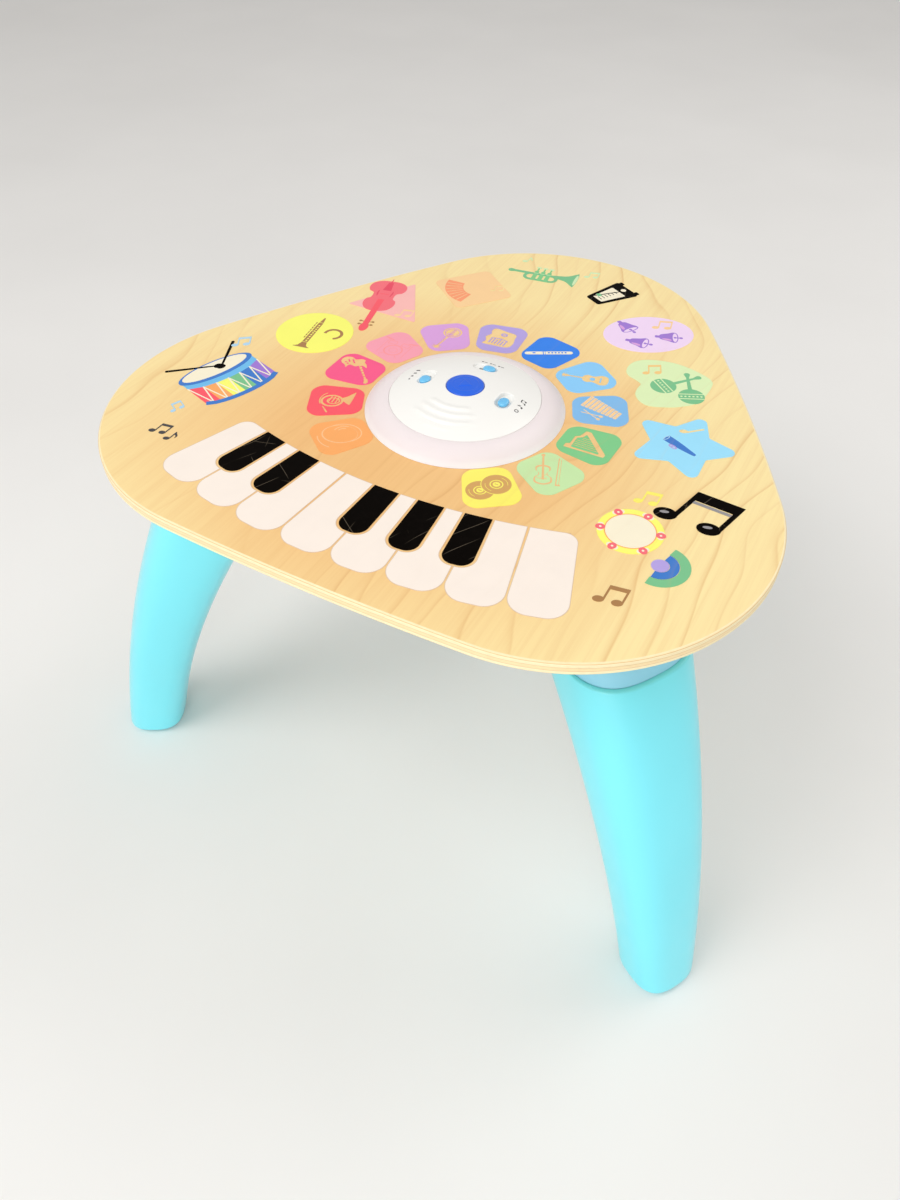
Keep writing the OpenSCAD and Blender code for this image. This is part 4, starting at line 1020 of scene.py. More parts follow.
def cello_icon(ink, dark, neck, peg):
    body = mirrored([
        (0, 25), (8.4, 24), (14, 19.6), (15.6, 13), (13.8, 7.2), (9.8, 4.4), (9.0, -0.6), (9.6, -4.6),
        (12.4, -7.4), (12.9, -14.6), (9.8, -21.4), (4.8, -24.4), (0, -24.8)])
    sound_hole = [(6.0, 8.6), (6.8, 4.4), (5.8, -0.6), (5.2, -0.2), (5.4, 4.0)]
    tail = [(-2.0, 22.5), (2.0, 22.5), (3.6, 9.0), (-3.6, 9.0)]
    layers = painted(ink, body) + painted(neck, slat(0, -6, 0, -46, 5.4, 4.6), oval(0, -50.5, 3.5, 6.4))
    for s in (-1, 1):
        layers += painted(peg, *[bar(s * 2.6, y, s * 4.4, y + 0.4, 0.6) for y in (-42.6, -47.4)])
        layers += painted(peg, *[oval(s * 5.0, y + 0.4, 1.2, 1.0, steps=12) for y in (-42.6, -47.4)])
        layers += painted(dark, smooth([(s * x, y) for x, y in sound_hole]))
    layers += painted(dark, tail, bar(0, 22, 0, 28.8, 1.2, 0.4))
    return layers + painted(neck, bar(-3.2, 3.0, 3.2, 3.0, 1.0))


def bell_icon(ink, shine, pale):
    """Handbell along x, with its mouth and clapper towards +x."""
    body = [(-9.6, -1.5), (-9.6, 1.5), (-6.8, 1.7), (-5.4, 3.6), (0, 5.6), (4.8, 7.3), (5.6, 0), (4.8, -7.3),
            (0, -5.6), (-5.4, -3.6), (-6.8, -1.7)]
    glint = [(-4.6, -2.4), (-1, -2.0), (2.2, -3.0), (2.2, -5.0), (-2.2, -4.4)]
    mouth = [(oval(5.2, 0, 2.7, 7.4), ink), (oval(5.3, 0, 1.8, 6.3), pale)]
    clapper = painted(ink, bar(5.0, 0, 10.0, 0, 1.2), oval(9.8, 0, 1.5, 1.3), oval(5.4, 0, 1.2))
    return [(smooth(body), ink), (smooth(glint), shine)] + mouth + clapper


def maraca(x, y, end_x, end_y, ink, pale):
    """One maraca, with its head's middle and its handle's end given."""
    length = math.hypot(end_x - x, end_y - y)
    turn = math.degrees(math.atan2(end_y - y, end_x - x)) - 90
    r = 9.3
    band = 2.9
    reach = math.sqrt(r * r - band * band) - 0.1
    layers = painted(ink, oval(0, 0, r), slat(0, 7, 0, length - 3, 3.2, 2.0),
                     bar(0, length - 5, 0, length - 1, 2.0, 4.6))
    layers += painted(pale, slat(-reach, -band, reach, -band, 0.9), slat(-reach, band, reach, band, 0.9))
    layers += painted(pale, *[oval(-7.0 + 2.8 * k, 0, 0.85, steps=8) for k in range(6)])
    return moved(layers, x, y, turn)


def kazoo_icon(ink, pale):
    tube = [(-12.9, -2.6), (-12.9, 2.6), (-11.0, 3.3), (-2, 2.9), (6, 2.0), (12.2, 1.2), (12.9, 0),
            (12.2, -1.2), (6, -2.2), (-2, -3.0), (-11.0, -3.3)]
    layers = [(smooth(tube), ink), (oval(-12.2, 0, 1.3, 3.0), pale), (oval(-12.2, 0, 0.7, 2.2), ink)]
    layers += painted("violet", oval(-3.0, -4.2, 3.4, 1.7))
    return layers + painted(pale, oval(-2.0, -4.2, 1.1, 0.7), oval(-4.6, -4.2, 0.6))


def bellows_icon(ink, pale):
    """Open bellows with seven pleats, bent round a point of the board."""
    x, y, inner, outer = -70.7, 158.2, 14.5, 29.3
    layers = [(arc((x, y), outer, 182, 264, 14) + arc((x, y), inner, 264, 182, 10), ink)]
    for k in range(1, 8):
        a = 182 + 82 * k / 8
        ends = polar(inner + 1.2, a) + polar(outer - 1.2, a)
        layers.append((bar(x + ends[0], y + ends[1], x + ends[2], y + ends[3], 0.5, 0.8), pale))
    return layers


def star_loop():
    """Five blunt points."""
    tip, notch = 39.5, 20.8
    loop = []
    points = [polar(tip if k % 2 == 0 else notch, 36 * k) for k in range(10)]
    for i, point in enumerate(points):
        corner = rounded([points[i - 1], point, points[(i + 1) % 10]], 2.5 if i % 2 else 4.6, 6)
        loop += corner[7:14]
    return loop


def heart_loop():
    """A plump heart with its point to the rear right, on the board."""
    return smooth([
        (96.3, 86.4), (91.8, 89.6), (83.8, 93.4), (80.1, 100.7), (80.9, 110.7), (86.8, 118), (97.3, 122.8),
        (109.3, 124.6), (120.5, 123.2), (132, 119.4), (139, 115.4), (141.8, 109.4), (141.8, 95), (138.8, 82),
        (134, 75.8), (125.3, 69), (112, 63.4), (105.0, 64.8), (100.4, 68.4), (97.2, 73.5), (96.2, 80)], 5)


def make_outer_pads():
    def pad(name, layers):
        print_sheet(name, layers, ["outer_pad_prints"], "shape_ink")

    disc = [(oval(-149, 32.5, 29.7, steps=96), "lemon")]
    disc += moved(clarinet_icon("brown", "lemon"), -150.2, 32.5, 9.6)
    pad("pad_disc", disc + [(bow(-135, 37, 6.6, -60, 195, 2.4), "brown")])

    triangle = [(rounded([polar(62 / math.sqrt(3), 90 + 120 * k) for k in range(3)], 1.0, 4), "blush")]
    pad("pad_triangle", moved(triangle, -120.5, 101) + moved(note_icon("peach"), -104, 91, 10, 1.7)
        + moved(cello_icon("rose", "dark_rose", "red", "brown"), -133.3, 107.3, 14))

    square = moved([(block(0, 0, 49, 49, 5), "peach")], -75, 153, -38.7)
    pad("pad_square", square + bellows_icon("coral", "peach") + moved(note_icon(None), -58, 163, 20, 1.4))

    oval_pad = moved([(oval(0, 0, 34.8, 26.2, steps=96), "pale_lilac")], 76.6, 154.4, 35)
    for x, y, turn in ((91.3, 157.5, 20.7), (73.9, 139.8, 7), (57.5, 157.0, -30)):
        oval_pad += moved(bell_icon("purple", "lilac", "pale_lilac"), x, y, turn)
    pad("pad_oval", oval_pad + moved(note_icon("peach"), 81, 172.5, 12, 1.9))

    heart = [(heart_loop(), "mint")] + moved(note_icon("honey"), 96.5, 108, 22, 1.8)
    pad("pad_heart", heart + maraca(111.3, 92, 130.4, 115, "leaf", "mint")
        + maraca(133.3, 88.7, 120.8, 115, "leaf", "mint"))

    star = moved([(star_loop(), "star_blue")], 146.3, 31, 12.6)
    star += moved(kazoo_icon("deep_blue", "pale_blue"), 146, 29, -23)
    pad("pad_star", star + painted(None, oval(142.3, 46.3, 3.0, 2.2, 20), bar(144.6, 46.4, 153.2, 54.6, 1.9)))


make_outer_pads()

# ---- Generic musical pictures in the three corners ----


def drum_sag(x):
    """How far the drum's lower rim bows down at x."""
    return -8 * math.sqrt(max(0.0, 1 - (x / 26) ** 2))


def drum_picture():
    """Blue drum with a rainbow band and two sticks."""
    layers = painted("figure_blue", oval(0, -13, 25, 8), block(0, 0, 50, 26))
    half, parts, high, low = 25, 6, 7, -13
    panel = 2 * half / parts
    lefts = [-half + 2 * half * k / parts for k in range(parts)]
    for left, ink in zip(lefts, ("red", "orange", "lemon", "leaf", "deep_blue", "purple")):
        start, end = drum_sag(left), drum_sag(left + panel)
        layers += painted(ink, [(left, start + low), (left + panel, end + low), (left + panel, end + high),
                                (left, start + high)])
    for x in lefts:
        middle = (x + panel / 2, drum_sag(x + panel / 2) + low)
        layers += painted("cream", bar(x, drum_sag(x) + high, *middle, 0.9),
                          bar(*middle, x + panel, drum_sag(x + panel) + high, 0.9))
    rim_low = stroke([(x, drum_sag(x) + low) for x in range(-half, half + 1, 5)], 3.4)
    layers += painted("deep_blue", rim_low, oval(0, 13, 26, 9)) + painted("cream", oval(0, 14, 23, 7))
    for x0, y0, x1, y1 in ((-24, 31, 3, 15), (26, 33, 4, 13)):
        layers += painted("black", bar(x0, y0, x1, y1, 2.0, 1.4), oval(x1, y1, 2.9, 2.3))
    return layers


def trumpet_picture():
    """Green trumpet: bell, looped tube, three valves and a mouthpiece."""
    bell = smooth([
        (14, 3.0), (20, 5.0), (26, 10.5), (28, 11.5), (29, 0), (28, -11.5), (26, -10.5), (20, -5.0),
        (14, -3.0), (8, -1.8), (8, 1.8)])
    layers = painted("leaf", bell, bar(-26, 0, 12, 0, 3.2), bar(-29.5, 0, -26, 0, 5.2, 3.0),
                     block(-2, -5, 30, 13, 6))
    layers += [(block(-2, -5.2, 24.5, 7.2, 3.4), None), (oval(27.6, 0, 1.3, 9.2), "pale_green")]
    for k in range(3):
        x = -7.5 + 5.6 * k
        layers += painted("green", block(x, -3.2, 3.6, 17, 1.0), block(x, 8.0, 1.3, 6.0, 0.3))
        layers += painted("pale_green", oval(x, 11.4, 2.3, 1.2), bar(x - 1.8, 1.0, x + 1.8, 1.0, 0.6))
    return layers


def metronome_picture():
    """Black metronome with a pale face and a swinging arm."""
    layers = painted("black", rounded([(-12, -17), (12, -17), (7, 16), (-7, 16)], 2.2))
    layers += painted("cream", rounded([(-7.6, -8.5), (7.6, -8.5), (5.0, 11.5), (-5.0, 11.5)], 1.0))
    marks = [bar(-1.4 - 0.1 * k, -5.5 + 2.9 * k, 1.4 + 0.1 * k, -5.5 + 2.9 * k, 0.6) for k in range(6)]
    layers += painted("black", *marks, bar(0, -8, 6.2, 15, 1.0))
    layers += [(block(3.9, 6.6, 4.2, 3.2, 0.6, -15), "leaf"), (oval(0, -12.6, 2.0), "cream")]
    return layers + painted("black", *[block(s * 8.6, -18.0, 4.0, 2.4, 0.6) for s in (-1, 1)])


def tambourine_picture():
    """Yellow tambourine with red jingles in its rim."""
    layers = [(oval(0, 0, 22.5, steps=72), "lemon"), (oval(0, 0, 17.6, steps=60), "orange"),
              (oval(0, 0, 16.8, steps=60), "cream")]
    for turn in range(15, 375, 60):
        x, y = polar(20.1, turn)
        layers += [(block(x, y, 3.9, 8.6, 1.6, turn), "cream"), (oval(x, y, 3.4, 2.9, turn), "rose"),
                   (oval(x, y, 0.9, steps=12), "cream")]
    return layers


def big_notes_picture():
    """Large joined notes with a grey beam."""
    beam = [(-13.5, 9), (15.5, 14), (15.5, 22.5), (-13.5, 17.5)]
    glint = [(-10.6, 6.2), (12.6, 10.2), (12.6, 12.6), (-10.6, 8.6)]
    layers = painted("black", slat(-12, -12, -12, 16, 3.0), slat(14, -7, 14, 21, 3.0), beam)
    layers += painted("grey", glint)
    layers += painted("black", oval(-17.0, -12.4, 7.0, 5.2, 22), oval(9.0, -7.4, 7.0, 5.2, 22))
    return layers + painted("grey", oval(-18.2, -11.6, 2.8, 1.2, 30), oval(7.8, -6.6, 2.8, 1.2, 30))


def make_pictures():
    def picture(name, layers):
        print_sheet(name, layers, slot="pad_ink")

    left = moved(drum_picture(), -168, -50, 72, 1.18)
    left += moved(note_icon("pale_blue"), -190, -6, 30, 1.8)
    left += moved(note_icon("pale_blue"), -176, -97, 60, 1.4)
    left += moved(note_icon("mark"), -168, -122, 0, 1.6) + moved(quaver_icon("mark"), -156, -125, 0, 1.5)
    picture("picture_drum", left)

    rear = moved(trumpet_picture(), -34, 203, 8, 0.98)
    rear += moved(metronome_picture(), 27, 198, 150, 1.12)
    rear += moved(note_icon("pale_green"), 1, 222, 10, 1.5)
    rear += moved(quaver_icon("pale_green"), -58, 222, 0, 1.5)
    picture("picture_trumpet", rear)

    right = moved(tambourine_picture(), 148, -66, 0, 0.9)
    right += moved(big_notes_picture(), 181, -32, -14, 1.05)
    right += moved(note_icon("yellow"), 146, -32, 0, 1.9)
    arcs = [(bow(0, 0, 9.4, -40, 140, 4.0), "leaf"), (bow(0, 0, 5.4, -40, 140, 3.6), "deep_blue"),
            (oval(0, 0, 3.4), "violet")]
    right += moved(arcs, 174, -86, -60, 1.55) + moved(note_icon("brown"), 158, -122, 0, 2.2)
    picture("picture_tambourine", right)


make_pictures()

# ---- Console ----

cap_sphere_r = (cap_r**2 + (crown_z - seam_z) ** 2) / (2 * (crown_z - seam_z))


def cap_z(r):
    return crown_z - cap_sphere_r + math.sqrt(cap_sphere_r**2 - r**2)


def smoothstep(t):
    t = min(1.0, max(0.0, t))
    return t * t * (3 - 2 * t)


def stadium_distance(x, y, length, width):
    """Distance outside (or, below zero, inside) a slot with round ends that lies along y."""
    reach = (length - width) / 2
    return math.hypot(x, y - max(-reach, min(reach, y))) - width / 2


def stadium_loop(length, width, steps=14):
    reach = (length - width) / 2
    return arc((0, reach), width / 2, 0, 180, steps) + arc((0, -reach), width / 2, 180, 360, steps)


# (radius, half angle, height) of the ripples, whose middle lies off the -Y line by a small angle
RIPPLES = ((26.8, 24, 0.9), (33.2, 27, 0.95), (39.8, 25, 0.95), (45.0, 8, 0.35))
ripple_middle = 3
ripple_rise = 4.0
ripple_fall = 1.7
ripple_fade = 13
recess_z = cap_z(slider_reach) - recess_depth
stem_room = (9.6, 3.0)
cap_rim_r = cap_r - 0.1
cap_hole_r = button_r + 0.3
cap_soft = 0.3
hole_soft = 0.5


def cap_surface(x, y):
    """Height of the cap's outer face: the dome, ripples towards the keys and three slider recesses."""
    r = math.hypot(x, y)
    z = cap_z(min(r, cap_r))
    if r > cap_rim_r - cap_soft:
        over = min(1.0, (r - (cap_rim_r - cap_soft)) / cap_soft)
        z -= cap_soft * (1 - math.sqrt(max(0.0, 1 - over**2)))
    around = abs(math.degrees(math.atan2(x, -y)) - ripple_middle)
    for ripple_r, half_angle, high in RIPPLES:
        across = (ripple_r - r) / ripple_rise if r < ripple_r else (r - ripple_r) / ripple_fall
        if across < 1:
            fade = smoothstep((half_angle + ripple_fade - around) / ripple_fade)
            z += high * fade * 0.5 * (1 + math.cos(math.pi * across))
    for angle in slider_angles:
        u, v = turned((x, y), -angle)
        d = stadium_distance(u - slider_reach, v, slot_l, slot_w)
        z = min(z, z - recess_drop(d, z))
    hole = r - cap_hole_r
    if hole < hole_soft:
        z -= hole_soft * (1 - math.sqrt(max(0.0, 1 - ((hole_soft - max(hole, 0.0)) / hole_soft) ** 2)))
    return z


def recess_drop(d, z):
    """How far a slider's recess sinks the surface at distance d from its wall."""
    lip, wall, foot = 0.9, 0.35, 1.3
    lip_drop, foot_rise = 0.42, 0.55
    full = z - recess_z
    if d > lip:
        return 0.0
    if d > 0:
        return lip_drop * (1 - math.sqrt(max(0.0, 1 - ((lip - d) / lip) ** 2)))
    if d > -wall:
        return lip_drop + (full - lip_drop - foot_rise) * (-d / wall)
    if d > -wall - foot:
        return full - foot_rise * (1 - (-d - wall) / foot) ** 2
    return full


def slider_points():
    """Points along the walls and floors of the three slider recesses."""
    points = []
    reach = (slot_l - slot_w) / 2
    for angle in slider_angles:
        for d in (1.3, 0.9, 0.75, 0.55, 0.35, 0.15, 0.0, -0.12, -0.24, -0.35, -0.6, -0.9, -1.2, -1.65, -2.3):
            loop = stadium_loop(slot_l + 2 * d, slot_w + 2 * d, 18)
            loop += [(s * (slot_w / 2 + d), reach * t / 4) for s in (-1, 1) for t in range(-3, 4)]
            points += [turned((slider_reach + x, y), angle) for x, y in loop]
    return points


def ripple_points():
    points = []
    reach = 40
    for k in range(40):
        r = 23.2 + 0.65 * k
        steps = int(r * math.radians(2 * reach) / 1.1)
        points += [polar(r, ripple_middle - 90 - reach + 2 * reach * i / steps) for i in range(steps + 1)]
    return points


def fill(points):
    """The cap's points and an even grid of more wherever none is near."""
    pitch, row_share, cell_l, apart = 1.5, 0.87, 1.2, 0.85
    taken = {}

    def cell(p):
        return (round(p[0] / cell_l), round(p[1] / cell_l))

    for p in points:
        taken.setdefault(cell(p), []).append(p)
    rows = int(cap_rim_r / pitch) + 1
    grid = [((i + 0.5 * (j % 2)) * pitch, j * pitch * row_share)
            for j in range(-rows, rows + 1) for i in range(-rows, rows + 1)]
    for p in grid:
        cx, cy = cell(p)
        near = [q for dx in (-1, 0, 1) for dy in (-1, 0, 1) for q in taken.get((cx + dx, cy + dy), ())]
        in_field = cap_hole_r + 1.7 <= math.hypot(*p) <= cap_rim_r - 1.9
        if in_field and all(math.dist(p, q) > apart for q in near):
            points.append(p)
    return points


def make_cap():
    """The cap: close points at its rim, hole, ripples and recesses, and holes for the knobs' stems."""
    points = []
    for inset in (0, 0.08, 0.2, 0.35, 0.5, 0.9, 1.8):
        points += circle(cap_rim_r - inset, 200)
    for out in (0.05, 0.15, 0.3, 0.5, 0.9, 1.6):
        points += circle(cap_hole_r + out, 96)
    points = fill(points + ripple_points() + slider_points())
    holes = [circle(cap_hole_r, 96)]
    for angle in slider_angles:
        holes.append([turned((slider_reach + x, y), angle) for x, y in stadium_loop(*stem_room, 8)])
    inner_r = cap_sphere_r - cap_wall

    def underside(x, y):
        dome = crown_z - cap_sphere_r + math.sqrt(inner_r**2 - x * x - y * y)
        return min(cap_surface(x, y) - 1.3, dome)

    relief("cap", points, circle(cap_rim_r, 200), holes, cap_surface, underside, cap_white,
           body="table", replaces=["console_cap"], slot="cap_white")


make_cap()


def make_light_ring():
    """The convex slope, its rolled foot, the seam lip and the collar that goes down through the board."""
    chord = Vector((cap_r - ring_outer_r, seam_z))
    middle = Vector((ring_outer_r, 0)) + chord / 2
    normal = Vector((-chord.y, chord.x)).normalized()
    centre = middle + normal * math.sqrt(ring_bulge_r**2 - chord.length_squared / 4)
    start = math.degrees(math.atan2(-centre.y, ring_outer_r - centre.x))
    end = math.degrees(math.atan2(seam_z - centre.y, cap_r + 0.15 - centre.x))
    foot_soft = 2.2
    outside = arc(centre, ring_bulge_r, start + foot_soft, end - 1.0, 22)
    foot_x = ring_outer_r - 0.25
    profile = [(foot_x, 0.02), (foot_x + 0.2, 0.25)] + outside
    profile += [(cap_r + 0.2, seam_z - 0.05), (cap_r + 0.03, seam_z - 0.25), (cap_r + 0.03, ledge_z + 0.1)]
    shelf = ledge_z - ledge_t
    collar_in, collar_out, collar_low = hole_r - 2.8, hole_r - 0.4, 1 - board_t
    profile += [(ledge_in, ledge_z), (ledge_in, shelf), (collar_in, shelf)]
    profile += [(collar_in, collar_low), (collar_out, collar_low), (collar_out, shelf)]
    inner = arc(centre, ring_bulge_r - ring_wall, start + 8, end - 8, 12)[::-1]
    profile += [p for p in inner if 0.3 < p[1] < shelf - 0.2 and p[0] > hole_r]
    profile += [(ring_outer_r - ring_wall - 0.3, 0.02)]
    points, faces = lathe(profile[::-1])
    build("light_diffuser", points, faces, [frost], "table", ["light_ring"], "ring_frost")


make_light_ring()


def triangle_distance(x, y, r):
    """Distance outside a play triangle of circumradius r that points to +x."""
    return max(turned((x, y), -a)[0] for a in (60, 180, 300)) - r / 2


def make_button():
    """The button above its stem and flange: a dome with a rolled edge, a faint ring and a play mark."""
    edge = 0.9
    mark_r = 5.2
    mark_high = 0.45
    crown = crown_z + button_proud - mark_high

    def height(x, y):
        r = math.hypot(x, y)
        z = crown - button_dome_r + math.sqrt(button_dome_r**2 - r * r)
        over = max(0.0, r - (button_r - edge)) / edge
        z -= edge * (1 - math.sqrt(max(0.0, 1 - min(1.0, over) ** 2)))
        ring = abs(r - 9.0)
        z += 0.18 * smoothstep(1 - ring / 0.9)
        return z + mark_high * smoothstep(-triangle_distance(x, y, mark_r) / 0.5 + 0.5)

    points = []
    for r in (12.99, 12.95, 12.88, 12.75, 12.55, 12.3, 12.1, 11.8, 11.2, 10.4, 9.9, 9.7, 9.5, 9.25, 9.0,
              8.75, 8.5, 8.3, 8.1, 7.4, 6.6):
        points += circle(r, 120)
    for offset in (-1.4, -0.8, -0.4, -0.25, -0.1, 0.0, 0.1, 0.25, 0.4, 0.8):
        corners = [polar(mark_r + 2 * offset, a) for a in (0, 120, 240)]
        for a, b in zip(corners, corners[1:] + corners[:1]):
            points += [(a[0] + (b[0] - a[0]) * t / 24, a[1] + (b[1] - a[1]) * t / 24) for t in range(24)]
    points += [polar(r, 60 * i + 15 * r) for r in (1, 2.2, 5.6) for i in range(6)]
    relief("start_button", points, circle(button_r, 120), [], height, lambda x, y: cap_z(button_r) - 1.6,
           button_blue, body="start_button", replaces=["play_button"], slot="button_blue")


make_button()


def make_knob(name, body, place):
    """A slider knob above its stem: a soft lozenge, rolled at its edge, with a low crown."""
    turn, slide = (90, (slider_rest[1], 0)) if place == 1 else (0, (0, slider_rest[place]))
    centre = shifted(turned((slider_reach, 0), slider_angles[place]), slide)
    low = recess_z + 0.3
    high = recess_z + recess_depth + knob_proud
    edge = 1.1
    rings = [(0.35, low), (0.0, low + 0.35)]
    for drop, inset in quarter(edge, spread(0, 90, 7)):
        rings.append((inset, high - 0.25 - drop))
    rings += [(edge + 0.6, high - 0.17), (edge + 1.3, high - 0.07), (edge + 1.9, high)]
    loops = []
    for inset, z in rings:
        loop = stadium_loop(knob_l - 2 * inset, knob_w - 2 * inset, 16)
        loops.append([at(*p, z) for p in placed(loop, *centre, turn)])
    points, faces = skin(loops)
    build(name, points, faces, [knob_blue], body, [body_node(body)], "knob_blue", crease=60)


def body_node(body):
    """The one CAD node of a slider's body."""
    return frame["record"]["behaviour"]["bodies"][body][0]


for knob_place, knob_body in enumerate(("volume_slider", "mode_slider", "sound_slider")):
    make_knob(knob_body + "_knob", knob_body, knob_place)


def make_console_marks():
    """Small generic marks beside the sliders: bars that grow, dashes, dots and a ring."""
    left = [(block(-41.5, 7.5 - 4.2 * k, 3.0 - 0.65 * k, 1.3, 0.3), "mark") for k in range(4)]
    rear = []
    for k in range(3):
        rear += [(oval(-6.5 + 6.5 * k, 38.6, 0.8, steps=16), "mark"),
                 (bar(-5.0 + 6.5 * k, 38.6, -3.0 + 6.5 * k, 38.6, 0.7), "mark")]
    right = moved(note_icon("mark"), 41, 7.0, 90, 0.55) + moved(quaver_icon("mark"), 41, 1.4, 90, 0.6)
    right += [(oval(41, -4.0, 1.5, steps=20), "mark"), (oval(41, -4.0, 0.95, steps=20), None)]

    def on_cap(x, y):
        return cap_z(math.hypot(x, y))

    print_sheet("console_marks", left + rear + right, slot="black_ink", surface=on_cap, thick=0.05)


make_console_marks()

# ---- Legs, sockets and feet ----


def leg_lean(h):
    return math.asin(h / leg_bend_r + math.sin(foot_lean))


def leg_reach(h):
    return foot_reach - leg_bend_r * (math.cos(foot_lean) - math.cos(leg_lean(h)))


def leg_half_depth(h):
    grown = foot_half_depth + (rim_half_depth - foot_half_depth) * (h / rim_h) ** swell
    return grown / math.cos(leg_lean(h))


def leg_half_width(h):
    return foot_half_width + (rim_half_width - foot_half_width) * h / rim_h


def leg_ring(h, inset, corner, z=None, count=96):
    """A level section of a leg at height h, moved in by an inset."""
    ring = []
    for i in range(count):
        c, s = polar(1, 360 * i / count)
        out = math.copysign(abs(c) ** (2 / leg_power), c)
        out *= leg_half_depth(h) - inset / math.cos(leg_lean(h))
        side = (leg_half_width(h) - inset) * math.copysign(abs(s) ** (2 / leg_power), s)
        x, y = turned((leg_reach(h) + out, side), corner)
        ring.append(at_floor(x, y, h if z is None else z))
    return ring


def make_leg(name, corner):
    """Leg skin with a rolled foot and rim, closed below the pocket that takes the socket's spigot."""
    lip = 0.5
    sections = [(pad_t, pad_inset - 0.2), (leg_bottom_h, pad_inset - 0.2), (leg_bottom_h, foot_round + 0.6)]
    sections += [(leg_bottom_h + rise, inset) for inset, rise in quarter(foot_round, range(0, 91, 10))]
    sections += [(h, 0) for h in spread(leg_bottom_h + foot_round, rim_h - rim_round, 44)[1:]]
    sections += [(rim_h - drop, inset) for drop, inset in quarter(rim_round, range(15, 91, 15))]
    sections += [(rim_h, leg_wall - lip)]
    sections += [(rim_h - drop, leg_wall - inset) for inset, drop in quarter(lip, (30, 60, 90))]
    sections += [(h, leg_wall) for h in spread(rim_h - 1.0, spigot_h - 2, 10)]
    points, faces = skin([leg_ring(h, inset, corner) for h, inset in sections])
    build("curved_" + name, points, faces, [aqua], name, [name], "leg_aqua", crease=40)


def make_socket(name, corner):
    """Socket skin down to its spigot, with a fillet under the flange and a rounded flange plate."""
    under_h = table_h - board_t
    flange_low = under_h - flange_t
    fillet, neck_h = 2.5, 3
    plate_half_l, plate_past, plate_round = 42, 13, 8
    sections = [(spigot_h, socket_grip + 1.6), (spigot_h + 0.8, socket_grip + 0.8)]
    sections += [(h, socket_grip) for h in spread(spigot_h + 1.6, rim_h - 0.2, 6)]
    sections += [(rim_h + 0.1, socket_grip), (rim_h + 0.3, socket_inset)]
    sections += [(h, socket_inset) for h in spread(rim_h + 1.0, flange_low - neck_h, 14)]
    sections += [(flange_low - neck_h + fillet * math.sin(math.radians(a)),
                  socket_inset - fillet * (1 - math.cos(math.radians(a)))) for a in (20, 40, 60, 80)]
    sections += [(under_h, socket_inset - fillet)]
    points, faces = skin([leg_ring(h, inset, corner) for h, inset in sections])
    replaced = ["leg_socket_" + name]
    build("socket_" + name, points, faces, [socket_blue], "table", replaced, "socket_blue", crease=40)
    plate_half_w = leg_half_width(under_h) - socket_inset + plate_past
    plate = []
    for inset, z in ((0.4, flange_low), (0.1, flange_low + 0.12), (0, flange_low + 0.5), (0, under_h)):
        loop = block(leg_reach(under_h), 0, 2 * (plate_half_l - inset), 2 * (plate_half_w - inset),
                     plate_round - inset)
        plate.append([at_floor(*turned(p, corner), z) for p in loop])
    points, faces = skin(plate)
    build("socket_flange_" + name, points, faces, [socket_blue], "table", slot="socket_blue", crease=40)


def make_foot_pad(name, corner):
    """Rubber sole with a bevelled edge and two shallow treads."""
    sections = [(0, pad_t), (0, 0.3), (0.3, 0.0), (3.0, 0.0), (3.4, 0.4), (5.4, 0.4), (5.8, 0.0), (9.0, 0.0),
                (9.4, 0.4)]
    rings = [leg_ring(leg_bottom_h, pad_inset + inset, corner, z, 72)[::-1] for inset, z in sections]
    points, faces = skin(rings)
    replaced = ["foot_pad_" + name]
    build("sole_" + name, points, faces, [rubber], "leg_" + name, replaced, "foot_rubber", crease=30)


for place_name, corner_angle in corner_angles.items():
    make_leg("leg_" + place_name, corner_angle)
    make_socket(place_name, corner_angle)
    make_foot_pad(place_name, corner_angle)

# ---- Materials of the CAD nodes that stay ----

film = plastic_material("touch_film_amber", linear(224, 168, 84), 0.2, coat=0.5)
dark_metal = metal_material("painted_basket", linear(90, 90, 94), 0.4)
paper = rubber_material("cone_paper", linear(58, 56, 58))
cell_wrap = plastic_material("cell_wrap", linear(212, 176, 84), 0.2, coat=0.5)
wire = rubber_material("wire_sleeve", linear(206, 48, 40))
lamp_cover = plastic_material("lamp_cover", linear(250, 246, 228), 0.2, depth=0.3, coat=0.4)

NODE_LOOKS = (
    (steel, "play_switch slide_switches board_screws console_screws speaker_screws battery_door_screw"),
    (steel, "socket_screws"),
    (dark_metal, "play_switch_plunger speaker_basket"),
    (nickel, "speaker_magnet battery_springs battery_contacts"),
    (circuit, "control_board led_board"),
    (film, "touch_film sensor_ribbon"),
    (housing_white, "base_housing battery_door"),
    (wire, "speaker_wires battery_wires led_wires"),
    (lamp_cover, "ring_leds"),
    (paper, "speaker_cone"),
    (cell_wrap, "batteries"),
)
for node_material, node_names in NODE_LOOKS:
    for node_name in node_names.split():
        node_mesh = frame["nodes"][node_name].data
        node_mesh.materials.clear()
        node_mesh.materials.append(node_material)

# ---- Floor, light and camera ----


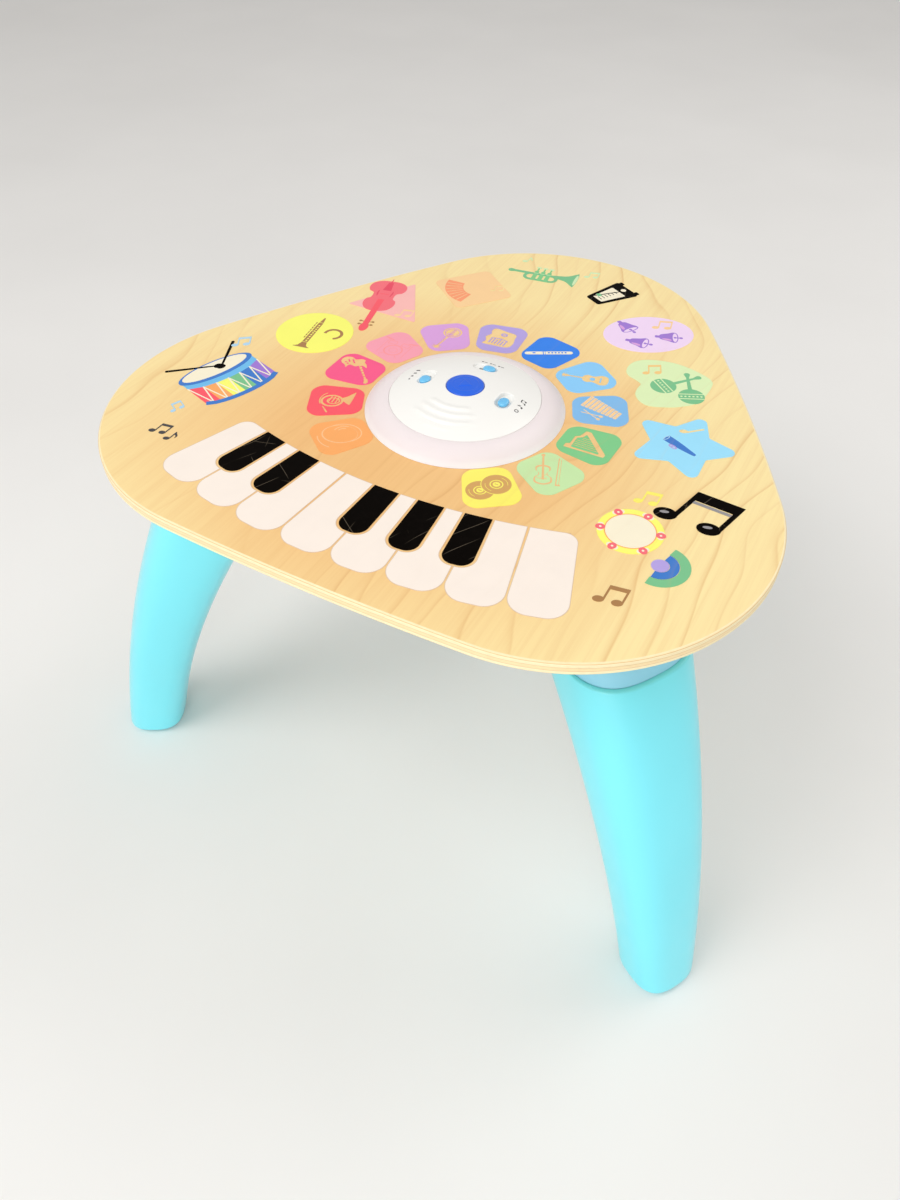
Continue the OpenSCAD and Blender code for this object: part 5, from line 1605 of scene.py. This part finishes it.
def make_floor():
    mesh = bpy.data.meshes.new("floor")
    half = 4.0
    low = -0.0001
    corners = [(-half, -half, low), (half, -half, low), (half, half, low), (-half, half, low)]
    mesh.from_pydata(corners, [], [(0, 1, 2, 3)])
    look = Look("pale_floor", Roughness=0.7)
    cloud = look.remap(look.noise(3.0, 3.0), 0.3, 0.7)
    look.colour(look.mix(cloud, linear(243, 241, 238), linear(239, 237, 234)))
    mesh.materials.append(look.material)
    floor = bpy.data.objects.new("floor", mesh)
    bpy.context.scene.collection.objects.link(floor)


def add_softbox(name, place, target, size, power):
    light = bpy.data.lights.new(name, "AREA")
    light.shape = "DISK"
    light.size = size
    light.energy = power
    box = bpy.data.objects.new(name, light)
    box.location = place
    box.rotation_euler = (Vector(target) - Vector(place)).to_track_quat("-Z", "Y").to_euler()
    bpy.context.scene.collection.objects.link(box)


def make_light():
    world = bpy.data.worlds.new("studio")
    world.use_nodes = True
    background = world.node_tree.nodes["Background"]
    background.inputs["Color"].default_value = (1.0, 0.99, 0.975, 1.0)
    background.inputs["Strength"].default_value = 0.54
    bpy.context.scene.world = world
    middle = (0.0, 0.0, 0.2)
    add_softbox("key_softbox", (-0.8, -1.4, 2.2), middle, 1.6, 24)
    add_softbox("front_softbox", (0.8, -2.1, 0.9), middle, 1.5, 15)
    add_softbox("rear_softbox", (0.9, 1.3, 2.0), middle, 1.5, 12)


def make_camera():
    """The photograph's view, from a camera fit to the board's outline."""
    camera_x, camera_y, camera_h = 256.4, -483.4, 369.3
    tilt, swing = 44.28, 29.03
    focal = 27.92
    data = bpy.data.cameras.new("camera")
    data.sensor_fit = "VERTICAL"
    data.sensor_height = 36
    data.lens = focal
    camera = bpy.data.objects.new("camera", data)
    camera.location = at(camera_x, camera_y, camera_h)
    camera.rotation_euler = (math.radians(tilt), 0, math.radians(swing))
    bpy.context.scene.collection.objects.link(camera)
    bpy.context.scene.camera = camera


make_floor()
make_light()
make_camera()
bpy.context.scene.view_settings.view_transform = "Standard"
